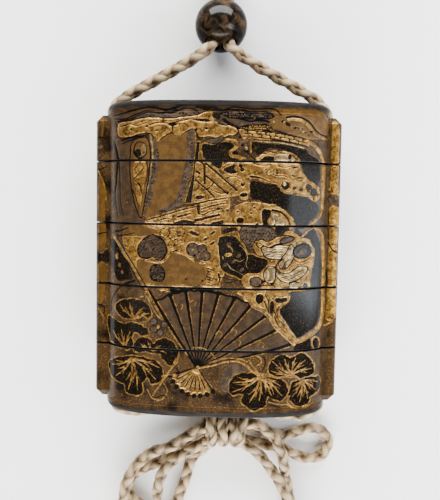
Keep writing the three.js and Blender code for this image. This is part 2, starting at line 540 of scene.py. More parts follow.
@dataclass(frozen=True)
class PolishedBead:
    """Dark brown lacquer over a mottled ground, polished like a nut.

    The eye gets a near-black ball with tea-brown clouds, a wet gloss on its crown and rubbed sides.
    """

    deep: str = "0D0A08"
    cloud: str = "4A3826"
    cloud_size: float = 2.6
    polished_from: float = 12.4
    polished_full: float = 13.3

    def build(self) -> bpy.types.Material:
        """Mixes the ball's clouds and gloss.

        Returns:
            The material.
        """
        board = Board.named("polished brown lacquer")
        spot = board.add("TexCoord").outputs["Object"]
        mottle = {"Scale": 1 / (self.cloud_size * MM), "Detail": 5.0, "Roughness": 0.6, "Distortion": 0.7}
        clouds = board.add("TexNoise", {"Vector": spot, **mottle})
        ramp = board.add("ValToRGB", {"Fac": clouds.outputs["Fac"]})
        ramp.color_ramp.elements[0].color = linear(self.deep)
        ramp.color_ramp.elements[0].position = 0.48
        ramp.color_ramp.elements[1].color = linear(self.cloud)
        ramp.color_ramp.elements[1].position = 0.78
        height = board.add("SeparateXYZ", {"Vector": spot}).outputs["Z"]
        polish = board.add(
            "MapRange",
            {
                "Value": height,
                "From Min": self.polished_from * MM,
                "From Max": self.polished_full * MM,
                "To Min": 0.02,
                "To Max": 0.2,
            },
            interpolation_type="SMOOTHSTEP",
        )
        shine = polish.outputs["Result"]
        look = {"Base Color": ramp.outputs["Color"], "Roughness": 0.14, "Specular IOR Level": shine}
        shader = board.add("BsdfPrincipled", look)
        return board.finish(shader)


# ---------------- the picture's layers


class Work(Enum):
    """Kinds of lacquer work, each kept as a distance that is positive inside it."""

    BLACK = "black"
    GOLD = "gold"
    MATTE = "matte"
    PALE = "pale"
    GREY = "grey"
    PAPER = "paper"
    LINE = "line"


BLACK, GOLD, MATTE, PALE, GREY, PAPER, LINE = Work
RELIEF = {
    Work.BLACK: 0.0,
    Work.GOLD: 0.16,
    Work.MATTE: 0.05,
    Work.PALE: 0.2,
    Work.GREY: 0.08,
    Work.PAPER: 0.04,
    Work.LINE: -0.06,
}
FAR = 2.0
EDGE = 0.3


def ripple(x: Array, y: Array, size: float, seed: int) -> Array:
    """Smooth random heights from -1 to 1 over a plane.

    Args:
        x: positions across, in millimetres.
        y: positions along.
        size: width of one swelling.
        seed: picks the pattern.

    Returns:
        A height for each position.
    """
    lattice = np.random.default_rng(seed).uniform(-1, 1, (64, 64))
    gx, gy = x / size + 31.3, y / size + 17.7
    ix, iy = np.floor(gx).astype(int), np.floor(gy).astype(int)
    fx, fy = gx - ix, gy - iy
    fx, fy = fx * fx * (3 - 2 * fx), fy * fy * (3 - 2 * fy)
    corner = {(i, j): lattice[(ix + i) % 64, (iy + j) % 64] for i in (0, 1) for j in (0, 1)}
    low = corner[0, 0] * (1 - fx) + corner[1, 0] * fx
    high = corner[0, 1] * (1 - fx) + corner[1, 1] * fx
    return low * (1 - fy) + high * fy


def curve_through(points: Sequence[Point], closed: bool) -> Array:
    """Runs a soft curve through points on the plane, closed or open.

    Args:
        points: the points to join.
        closed: whether the curve runs back to its start.

    Returns:
        Points along the curve.
    """
    flat = [(x, y, 0.0) for x, y in points]
    if not closed:
        return smooth_route(flat, 0.5)[:, :2] if len(flat) > 2 else np.array(points, dtype=float)
    wound = flat[-2:] + flat + flat[:2]
    line = smooth_route(wound, 0.45)[:, :2]
    start = int(np.argmin(np.linalg.norm(line - flat[0][:2], axis=1)[: len(line) // 2]))
    rest = np.linalg.norm(line - flat[0][:2], axis=1)
    rest[: len(line) // 2] = 1e9
    return line[start : int(np.argmin(rest))]


@dataclass
class Canvas:
    """The skin's corners, with the distance of each to every kind of work laid on it."""

    x: Array
    y: Array
    layers: dict[Work, Array] = field(default_factory=dict)

    def __post_init__(self) -> None:
        """Starts with bare ground."""
        for work in Work:
            self.layers[work] = np.full(len(self.x), -FAR)
        self.wave_x = ripple(self.x, self.y, 1.1, 3) + 0.5 * ripple(self.x, self.y, 0.45, 4)
        self.wave_y = ripple(self.x, self.y, 1.1, 5) + 0.5 * ripple(self.x, self.y, 0.45, 6)

    def near(self, points: Array, reach: float) -> Array:
        """Returns the corners within reach of the points' box.

        Args:
            points: the points to join.
            reach: how far from the box, in millimetres.

        Returns:
            The indices of those corners.
        """
        low, high = points.min(axis=0) - reach, points.max(axis=0) + reach
        inside = (self.x > low[0]) & (self.x < high[0]) & (self.y > low[1]) & (self.y < high[1])
        return np.nonzero(inside)[0]

    def lay(self, work: Work, at: Array, distance: Array) -> None:
        """Lays one kind of work over what is there.

        Args:
            work: the kind of work.
            at: indices of the corners that it may touch.
            distance: how far inside the form each of those corners is.
        """
        for kind, layer in self.layers.items():
            if kind is work:
                layer[at] = np.maximum(layer[at], distance)
            else:
                layer[at] = np.minimum(layer[at], -distance)

    def shaken(self, at: Array, wobble: float) -> tuple[Array, Array]:
        """Returns the places of some corners, moved a little so that an edge wavers."""
        return self.x[at] + wobble * self.wave_x[at], self.y[at] + wobble * self.wave_y[at]


class Mark(Protocol):
    """Anything that can be laid on the canvas."""

    def draw(self, canvas: Canvas) -> None:
        """Lays the mark on the canvas."""


def from_run(px: Array, py: Array, a: Array, b: Array) -> tuple[Array, Array]:
    """Measures places against the straight run from a to b.

    Args:
        px: places across.
        py: places along.
        a: start of the run.
        b: its end.

    Returns:
        The share of the run at each place's nearest point, and the distance to it.
    """
    run = b - a
    t = np.clip(((px - a[0]) * run[0] + (py - a[1]) * run[1]) / max(run @ run, 1e-9), 0, 1)
    return t, np.hypot(px - a[0] - t * run[0], py - a[1] - t * run[1])


@dataclass(frozen=True)
class Stroke:
    """A softly curved line of even or changing width, with a slightly unsteady edge."""

    work: Work
    points: Sequence[Point]
    width: float
    end: float | None = None
    wobble: float = 0.05

    def draw(self, canvas: Canvas) -> None:
        """Lays the line on the canvas.

        Args:
            canvas: the canvas to lay it on.
        """
        line = curve_through(self.points, closed=False)
        at = canvas.near(line, max(self.width, self.end or self.width) + 0.8)
        if not len(at):
            return
        px, py = canvas.shaken(at, self.wobble)
        best = np.full(len(at), -FAR)
        last = self.width if self.end is None else self.end
        for number, (a, b) in enumerate(zip(line, line[1:])):
            t, away = from_run(px, py, a, b)
            half = 0.5 * (self.width + (last - self.width) * (number + t) / (len(line) - 1))
            best = np.maximum(best, half - away)
        canvas.lay(self.work, at, best)


@dataclass(frozen=True)
class Fill:
    """A closed form with soft or straight sides, and an outline of other work if it has a width."""

    work: Work
    points: Sequence[Point]
    outline: float = 0.0
    rim: Work = Work.LINE
    wobble: float = 0.12
    soft: bool = True

    def draw(self, canvas: Canvas) -> None:
        """Lays the form on the canvas.

        Args:
            canvas: the canvas to lay it on.
        """
        shape = curve_through(self.points, closed=True) if self.soft else np.array(self.points, dtype=float)
        at = canvas.near(shape, self.outline + 1.0)
        if not len(at):
            return
        px, py = canvas.shaken(at, self.wobble)
        nearest = np.full(len(at), 9.0)
        inside = np.zeros(len(at), dtype=bool)
        for a, b in zip(shape, np.roll(shape, -1, axis=0)):
            nearest = np.minimum(nearest, from_run(px, py, a, b)[1])
            rise = b[1] - a[1]
            reach = a[0] + (py - a[1]) * (b[0] - a[0]) / (rise if abs(rise) > 1e-9 else 1e-9)
            inside ^= ((a[1] > py) != (b[1] > py)) & (px < reach)
        distance = np.where(inside, nearest, -nearest)
        if self.outline > 0:
            canvas.lay(self.rim, at, np.minimum(distance + self.outline, FAR))
        canvas.lay(self.work, at, np.minimum(distance, FAR))


@dataclass(frozen=True)
class Spots:
    """Oval spots of one size; height None makes them round, and turn tilts them in degrees."""

    work: Work
    centres: Sequence[Point]
    width: float
    height: float | None = None
    turn: float = 0.0
    wobble: float = 0.08

    def draw(self, canvas: Canvas) -> None:
        """Lays the spots on the canvas.

        Args:
            canvas: the canvas to lay it on.
        """
        half_x, half_y = self.width / 2, (self.height or self.width) / 2
        c, s = math.cos(math.radians(self.turn)), math.sin(math.radians(self.turn))
        for x, y in self.centres:
            at = canvas.near(np.array([(x, y)]), max(half_x, half_y) + 0.7)
            if not len(at):
                continue
            px, py = canvas.shaken(at, self.wobble)
            dx, dy = px - x, py - y
            across, up = (dx * c + dy * s) / half_x, (dy * c - dx * s) / half_y
            canvas.lay(self.work, at, (1 - np.hypot(across, up)) * min(half_x, half_y))


# ---------------- the picture


@dataclass(frozen=True)
class Leaf:
    """A lobed leaf in black lacquer with gold veins and a gold outline."""

    root: Point
    edge: tuple[Point, ...]
    tips: tuple[Point, ...]
    vein: float = 0.54

    def draw(self, canvas: Canvas) -> None:
        """Lays the leaf on the canvas.

        Args:
            canvas: the canvas to lay it on.
        """
        Fill(BLACK, self.edge, outline=0.3, rim=GOLD, wobble=0.27).draw(canvas)
        for tip in self.tips:
            far = self._between(self.root, tip, 1.1, 0.0)
            self._vein(canvas, self.root, far, self.vein)
            for side in (-1, 1):
                start = self._between(self.root, tip, 0.5, 0.0)
                self._vein(canvas, start, self._between(self.root, tip, 0.82, 0.15 * side), self.vein * 0.6)

    def _vein(self, canvas: Canvas, start: Point, end: Point, width: float) -> None:
        """Draws one vein that thins towards its end."""
        Stroke(GOLD, [start, self._between(start, end, 0.5, 0.06), end], width, width * 0.35).draw(canvas)

    @staticmethod
    def _between(start: Point, end: Point, share: float, aside: float) -> Point:
        """Returns a point part of the way to the end, and a share of the way off to one side."""
        dx, dy = end[0] - start[0], end[1] - start[1]
        return start[0] + share * dx - aside * dy, start[1] + share * dy + aside * dx


@dataclass(frozen=True)
class OpenFan:
    """An open folding fan: grey-brown paper over dark ribs edged with gold."""

    pivot: Point = (-4.1, -26.8)
    near_reach: float = 19.7
    far_reach: float = 24.0
    first: float = 123.4
    last: float = 14.7
    folds: int = 9

    def draw(self, canvas: Canvas) -> None:
        """Lays the fan on the canvas.

        Args:
            canvas: the canvas to lay it on.
        """
        turns = np.linspace(self.first, self.last, 2 * self.folds + 1)
        arc = [self._at(turn, self._reach(turn) - 0.5 * (number % 2)) for number, turn in enumerate(turns)]
        Fill(PAPER, [*arc, self.pivot], outline=0.45, wobble=0.06, soft=False).draw(canvas)
        for number, turn in enumerate(turns[::2]):
            reach = self._reach(turn)
            Stroke(GOLD, [self._at(turn - 1.5, 4.0), self._at(turn - 1.5, reach - 0.4)], 0.28).draw(canvas)
            Stroke(LINE, [self._at(turn, 0.8), self._at(turn, reach)], 0.3, 0.78).draw(canvas)
            if 0 < number < self.folds:
                Spots(LINE, [self._at(turn, reach - 0.3)], 1.3, 0.8, turn - 90).draw(canvas)
        for turn, reach in ((93, 16.6), (105, 16.2), (45, 13.2), (33, 12.4), (57, 10.5), (21, 17.5)):
            x, y = self._at(turn, reach)
            curl = [(x - 1.2, y - 0.2), (x - 0.5, y + 0.6), (x + 0.4, y), (x, y - 0.9)]
            Stroke(GOLD, curl, 0.22).draw(canvas)
        cross = [self._at(turn, 5.2 + 0.25 * (turn % 3)) for turn in range(30, 110, 12)]
        Stroke(GOLD, cross, 0.25).draw(canvas)
        self._tassel(canvas)

    def _tassel(self, canvas: Canvas) -> None:
        """Lays the smaller fan of gold below the pivot, with its black tips.

        Args:
            canvas: the canvas to lay it on.
        """
        turns = np.linspace(197.0, 303.0, 9)
        reach = 7.0
        form = [self.pivot, *[self._at(turn, reach) for turn in turns]]
        Fill(GOLD, form, outline=0.25, soft=False).draw(canvas)
        for turn in turns:
            Stroke(LINE, [self._at(turn, 1.6), self._at(turn + 1.5, 5.6)], 0.12, 0.36).draw(canvas)
            Stroke(PALE, [self._at(turn + 5, 3.0), self._at(turn + 6, 6.4)], 0.16).draw(canvas)
            Spots(BLACK, [self._at(turn + 1, reach + 0.15)], 1.15, 1.35, turn - 90).draw(canvas)
        Spots(GOLD, [self.pivot], 1.0).draw(canvas)

    def _reach(self, turn: float) -> float:
        """Returns how far the paper reaches in a direction; the low side lies further open."""
        share = max(0.0, (75.0 - turn) / (75.0 - self.last))
        return self.near_reach + (self.far_reach - self.near_reach) * share**1.3

    def _at(self, turn: float, distance: float) -> Point:
        """Returns the point in a direction, in degrees, and at a distance from the pivot."""
        angle = math.radians(turn)
        return self.pivot[0] + distance * math.cos(angle), self.pivot[1] + distance * math.sin(angle)


@dataclass(frozen=True)
class Blossom:
    """A round blossom of five petals with a dark eye."""

    middle: Point
    radius: float
    work: Work

    def draw(self, canvas: Canvas) -> None:
        """Lays the blossom on the canvas.

        Args:
            canvas: the canvas to lay it on.
        """
        Spots(LINE, [self.middle], 2.25 * self.radius).draw(canvas)
        for petal in range(5):
            angle = 2 * math.pi * petal / 5 + self.middle[0]
            place = (
                self.middle[0] + 0.58 * self.radius * math.cos(angle),
                self.middle[1] + 0.58 * self.radius * math.sin(angle),
            )
            Spots(self.work, [place], 0.92 * self.radius).draw(canvas)
        Spots(GOLD, [self.middle], 0.45 * self.radius).draw(canvas)


@dataclass(frozen=True)
class PebbledPatch:
    """A patch of small raised pebbles, close together over a dark ground."""

    edge: tuple[Point, ...]
    work: Work
    pitch: float
    size: float
    ground: Work = LINE

    def draw(self, canvas: Canvas) -> None:
        """Lays the patch on the canvas.

        Args:
            canvas: the canvas to lay it on.
        """
        Fill(self.ground, self.edge, outline=0.2).draw(canvas)
        shape = np.array(self.edge)
        chance = np.random.default_rng(int(abs(shape[0, 0]) * 10))
        low, high = shape.min(axis=0), shape.max(axis=0)
        for row, y in enumerate(np.arange(low[1], high[1], self.pitch * 0.87)):
            for x in np.arange(low[0] + (row % 2) * self.pitch / 2, high[0], self.pitch):
                jitter = chance.uniform(-0.2, 0.2, 3) * self.pitch
                spot = (x + jitter[0], y + jitter[1])
                if self._holds(spot):
                    Spots(self.work, [spot], self.size + jitter[2], self.size * 0.85).draw(canvas)

    def _holds(self, spot: Point) -> bool:
        """Tells whether a spot lies inside the patch.

        Args:
            spot: the place to test.

        Returns:
            True inside the patch.
        """
        held = False
        for (ax, ay), (bx, by) in zip(self.edge, self.edge[1:] + self.edge[:1]):
            if (ay > spot[1]) != (by > spot[1]) and spot[0] < ax + (spot[1] - ay) * (bx - ax) / (by - ay):
                held = not held
        return held


def slope(x: float, drop: float) -> Point:
    """A point of the brick wall, some way under its sloping top."""
    return x, 32.5 - 0.0062 * (x - 5) ** 2 - drop


# The brown panels at both sides and the banks of cloud under the rim of the lid.
CLOUD_BANKS = (
    Fill(PAPER, [(-26, 30), (-20.6, 30), (-20.4, 20), (-18.6, 9), (-24, 9), (-25.4, 14)]),
    Fill(PAPER, [(-24.6, 9), (-14, 9), (-16, 3), (-22, 0), (-24.4, 4)]),
    Fill(PAPER, [(26, 33), (28, 33), (28.2, 0), (28.2, -38), (25, -38), (26.9, -20), (27.2, 0)]),
    Fill(PAPER, [(-27, 33.5), (-27, 38.6), (0, 39.4), (15, 38.8), (15, 34), (0, 33)]),
    Fill(GREY, [
        (-26, 34.4), (-22, 34.9), (-18, 36.4), (-14, 36.3), (-11, 36.3), (-8, 37.4), (-5.6, 37.2),
        (-4.6, 36.2), (-8, 35.5), (-13, 35.3), (-18, 35), (-22, 33.6),
    ], outline=0.3),
    Fill(GOLD, [
        (-25, 34.2), (-22, 34.5), (-19, 35.2), (-16, 35.3), (-12, 35.1), (-8, 35.5), (-5, 35.9), (-3, 36.7),
        (-1.6, 37), (-0.6, 36), (0.4, 33.8), (3, 33.4), (5, 32.3), (4.5, 31.5), (2, 30.9), (0.5, 30.5),
        (-2, 30.9), (-4.4, 30.7), (-5.3, 32.3), (-6.6, 32.7), (-7.6, 32.1), (-8.4, 31.5), (-9.4, 31),
        (-10.4, 31.2), (-11, 31.8), (-12.5, 31.2), (-14, 30.1), (-14.8, 29.1), (-15.8, 31), (-17, 31.6),
        (-20, 31.3), (-23, 30.7), (-25, 31),
    ], outline=0.26),
    Fill(MATTE, [
        (13.5, 37.6), (19, 38.6), (25, 38), (27.6, 36.6), (28, 33), (26, 31), (22, 31), (17, 32), (13, 33.4),
        (12.5, 35.5),
    ]),
    *(Stroke(LINE, line, width, end) for line, width, end in (
        ([
            (-26.5, 36.2), (-23, 36.8), (-19, 37.7), (-16, 37.8), (-12.5, 37.3), (-9, 38.1), (-6, 38.4),
        ], 0.35, 0.6),
        ([
            (-26, 35.4), (-23.4, 35.2), (-20, 36.4), (-18, 37), (-15.4, 36.6), (-12, 36.7), (-9.6, 37.2),
        ], 0.3, 0.3),
        ([(-13, 36.8), (-11.4, 36.7), (-10.2, 37.2)], 0.5, 0.5),
        ([(-24.4, 33.4), (-22, 33.9), (-20, 33.5), (-17.6, 34.2)], 0.25, 0.2),
        ([(-24, 29.9), (-21.4, 30.6), (-18.4, 30.9), (-16.6, 31.3)], 0.5, 0.3),
        ([(-24, 29.1), (-21, 30.1), (-18.6, 30.3), (-16.8, 30.8)], 0.3, 0.2),
        ([(-16.8, 33.6), (-15.4, 34), (-14, 34.2), (-12, 34), (-9, 34.5), (-6.8, 35)], 0.3, 0.2),
        ([(-10.9, 33.4), (-11, 32.6), (-11.1, 31.9)], 0.32, 0.2),
        ([(1.5, 37.3), (4, 38), (7, 37.7), (10, 37.6), (12.6, 37.8), (14.4, 37.4), (15.6, 36.3)], 0.3, 0.35),
        ([(-0.6, 36.4), (1, 37), (3.2, 37.4), (6, 37.3), (9, 36.9), (11.4, 37), (13.6, 36.6)], 0.28, 0.28),
        ([(2.6, 35.4), (4.4, 35.3), (6.4, 35), (8.2, 34.6), (10.4, 34.9), (12.6, 34.6)], 0.3, 0.5),
        ([(4.6, 33), (7, 32.9), (9.4, 33), (11, 33.5), (13, 33.4)], 0.3, 0.2),
        ([
            (17, 35.8), (19, 36.1), (21, 35.8), (22.8, 34.9), (24.2, 33.4), (25.6, 32.3), (27.6, 31.8),
        ], 0.55, 0.3),
    )),
    Fill(GREY, [
        (4.2, 34.6), (7, 34.3), (9.6, 34.4), (12.4, 34.2), (13.4, 33.8), (10.4, 33.4), (7, 33.2), (5, 33.3),
    ]),
    Fill(BLACK, [
        (-6, 38.1), (-4, 37.4), (-2.6, 37.1), (-0.4, 37), (0.4, 36.6), (-1.4, 36.2), (-1.2, 35.4), (0.6, 35),
        (0.8, 35.9), (2, 36.9), (0, 37.9), (-3, 38.4),
    ]),
    Stroke(BLACK, [(1.6, 34.9), (2.8, 34.1), (4.4, 33.5), (5.6, 33.1)], 0.9, 0.3),
    Stroke(GREY, [(-0.6, 34.8), (0.8, 34.3), (2.2, 33.8)], 0.5, 0.4),
    PebbledPatch((
        (1, 36.5), (3.5, 37), (6.5, 36.9), (9.5, 36.4), (12.6, 36.5), (13.8, 35.8), (11.5, 35.3), (8, 35.2),
        (5, 35.5), (2.6, 35.7),
    ), GREY, 0.62, 0.5),
    PebbledPatch(((5.6, 33.1), (9, 33.7), (12.8, 33.6), (13.4, 32.8), (9, 32.4), (6, 32.5)), GOLD, 0.6, 0.48),
    Stroke(GOLD, [
        (17.2, 35.2), (19, 35.4), (21, 35.1), (22.6, 34), (23.8, 32.6), (25.4, 31.6), (27.6, 31),
    ], 0.7, 0.6),
    Spots(BLACK, [(-3.6, 34.8)], 4.0, 0.75, -4),
    Spots(BLACK, [(-10.9, 33.7)], 2.1, 0.75),
    Spots(BLACK, [(-2.6, 32.8), (-21.5, 32.6), (-5.1, 32.5)], 0.65),
    Spots(LINE, [
        (-24.4, 35), (-22.6, 35), (-21.3, 35.2), (-9.2, 36.3), (-8.4, 36.5), (-7.7, 36.2), (-16.6, 35.6),
        (-14.9, 32.2), (-13.4, 34.6), (-17.4, 33.2),
    ], 0.5),
    Spots(BLACK, [(17.3, 34.2)], 1.7, 0.8, -28),
    Spots(BLACK, [(19.2, 33.3), (23.3, 32.7), (16, 34.8)], 0.9, 0.6, 20),
    Spots(PALE, [(16.3, 34.7), (14.7, 35.9), (18.2, 33.7), (20.4, 33), (21.2, 32.6), (13.7, 34.6)], 0.5),
    Spots(LINE, [(18.6, 32.8), (20, 33.3), (21, 33.2), (20.4, 32.2), (21.8, 32.4), (22.6, 31.8)], 0.34),
)

# The smooth gold screen with its dotted borders, and the folded form before it.
SCREEN = (
    Fill(MATTE, [
        (-14.7, 29.1), (-13, 30.5), (-11.2, 31.4), (-9.5, 30.8), (-8, 31.5), (-6.4, 32.2), (-5.6, 30),
        (-5.7, 25), (-7, 19.4), (-8.4, 14.2), (-12, 12.8), (-17.6, 10.6), (-17, 13.5), (-16, 17), (-15.2, 21),
        (-14.8, 25),
    ]),
    Fill(GREY, [
        (-7.2, 31.9), (-5.7, 32.4), (-5.4, 29), (-5.7, 25), (-6.6, 20.6), (-7.9, 16), (-8.7, 14.2),
        (-11, 12.9), (-14, 12.1), (-13.8, 13), (-10.6, 14.6), (-9.4, 17.4), (-8.3, 21.6), (-7.4, 26),
    ]),
    Fill(GREY, [
        (-15.4, 30.6), (-14.7, 28.6), (-14.4, 25), (-14.9, 21), (-15.8, 17), (-16.6, 13.4), (-17.8, 13.6),
        (-17.1, 18), (-16.1, 22), (-15.8, 26), (-16, 29.4),
    ]),
    Spots(LINE, [
        (-6.2, 29.1), (-6.5, 28.2), (-6.5, 24.3), (-6.1, 23.7), (-6.9, 24.9), (-7.6, 20.8), (-7.1, 20.4),
        (-8, 20), (-9, 16.4), (-9.3, 15.9), (-8.6, 15.3), (-14.9, 27.5), (-14.7, 26.7), (-14.5, 26),
        (-15.5, 23.9), (-15.8, 23.1), (-15.4, 22.8), (-16.1, 20.6), (-15.6, 19.8), (-16, 19.2), (-17, 15.6),
        (-16.6, 15.2), (-17.4, 14.6),
    ], 0.42),
    Stroke(BLACK, [(-14, 12.3), (-12.6, 12.5)], 0.5, 0.4),
    Spots(LINE, [(-12.4 + 0.55 * (n % 4) + 0.2 * (n // 4), 29.6 - 0.42 * (n // 4)) for n in range(11)], 0.24),
    # The pale strips along the folded form's right edge are a painted highlight
    Stroke(PALE, [(-16.6, 31), (-16.1, 28.4), (-15.9, 25.4)], 0.5, 0.4),
    Stroke(PALE, [(-16.2, 24.6), (-16.6, 21), (-17.1, 18), (-17.4, 16.4)], 0.45, 0.3),
    Stroke(GOLD, [(-5.4, 31.8), (-5.2, 29), (-5.5, 25)], 0.25),
    Fill(MATTE, [
        (-21.2, 29.4), (-21.6, 26), (-21.7, 22), (-21.2, 18), (-20.2, 13.6), (-18.9, 10.8), (-18.3, 13.4),
        (-17.5, 18), (-16.9, 23), (-16.7, 27), (-17.4, 30), (-19.4, 30.3),
    ], outline=0.3),
    Fill(GOLD, [
        (-20.7, 24.6), (-17.7, 24.6), (-17.7, 21), (-18.4, 17), (-19.1, 13.2), (-20.2, 17), (-20.9, 21),
    ]),
    Spots(LINE, [(-19.2, 27.4)], 3.6, 4.3),
    Spots(MATTE, [(-19.1, 27.5)], 3.0, 3.7),
    Spots(BLACK, [(-19.7, 26.8)], 1.6, 1.9, 20),
    # The pale spot on the jewel's right side is a painted highlight
    Spots(PALE, [(-18.3, 27.5)], 1.3, 2.9),
    *(Stroke(LINE, line, 0.26, 0.16) for line in (
        [(-20.9, 20.2), (-19.4, 21.6), (-18, 23.4)],
        [(-20.7, 22.6), (-19.4, 24.2)],
        [(-20.5, 20), (-19.2, 18.4), (-18.4, 15.8)],
        [(-19.5, 19.4), (-18.5, 17.4)],
        [(-17.6, 25), (-17.2, 22), (-17.9, 18.4)],
        [(-21.1, 17.6), (-20, 15), (-19.3, 12)],
        [(-24.9, 25.6), (-24.6, 20), (-24.4, 15), (-23.4, 10.6)],
    )),
    Stroke(BLACK, [(-26.3, 29.6), (-25.3, 26), (-25.6, 21), (-26, 17)], 0.7, 0.5),
    Spots(LINE, [(-22.6, 16.6), (-22.3, 15), (-21.8, 12.2), (-23.2, 13.4), (-22.6, 11.6)], 0.34),
    Spots(GOLD, [(-23, 15.4), (-22.5, 14.4), (-18.1, 11.2)], 0.4),
    Fill(BLACK, [
        (-4.95, 29.5), (-4.2, 29.5), (-4.9, 22), (-6.1, 14.5), (-7.7, 14.5), (-5.9, 21),
    ], outline=0.2, rim=GOLD, wobble=0.04, soft=False),
)

# The wall of gold bricks and the dark water below it.
BRICK_WALL = (
    Fill(BLACK, [
        (8, 29.6), (10, 29.6), (12.6, 29.3), (16, 29), (19, 28.7), (22, 28.1), (23.4, 26.8), (25.5, 25.6),
        (25.9, 23), (25.9, 20.4), (24.6, 19.4), (22, 22), (20.4, 25), (18, 27.4), (15.4, 28.2), (12, 28.2),
        (9, 27.6),
    ]),
    Fill(GOLD, [
        (5, 32.6), (10, 32.5), (14, 32.1), (18, 31.5), (22.6, 30.6), (23, 29), (18, 29.8), (14, 30.2),
        (9, 30.3), (6.2, 30.3),
    ], outline=0.2, soft=False),
    *(Stroke(LINE, [slope(x, drop) for x in (6.5, 10, 14, 18, 22.4)], 0.22, wobble=0.02) for drop in (
        0.1, 0.85, 1.6,
    )),
    *(
        Stroke(LINE, [slope(x, drop - 0.3), slope(x, drop + 0.3)], 0.24, wobble=0.02)
        for row, drop in enumerate((0.48, 1.22))
        for x in np.arange(7.4 + 1.15 * (row % 2), 22.2, 2.3)
    ),
    Stroke(PALE, [(8.6, 29.9), (13, 29.7), (17, 29.4), (21.6, 28.5)], 0.3),
    Stroke(GOLD, [(22.4, 30.2), (24, 29.4), (25.3, 28.2), (26.2, 26.8), (26.7, 25.2)], 0.9, 0.8),
    Fill(GOLD, [
        (9.4, 25.2), (10, 26.4), (12, 27.4), (14, 27.8), (16, 27.6), (18, 27.3), (19.8, 26.4), (20.6, 25.2),
    ]),
    Fill(PALE, [(14, 25.3), (14.4, 26.6), (16.4, 26.9), (18.4, 26.5), (19.4, 25.4)]),
    Stroke(LINE, [(10, 26), (11, 26.9), (12, 26.8), (13, 27.4), (14, 27.1), (15, 27.4), (16, 27)], 0.22),
    Fill(BLACK, [(10.6, 25.2), (11.4, 26), (13, 26.3), (14.2, 25.9), (13.8, 25.1)]),
    Spots(BLACK, [(18, 26.2)], 1.0, 1.4),
    Stroke(GOLD, [(8.4, 30.2), (8.2, 28.6), (8.4, 27.2)], 0.4),
)

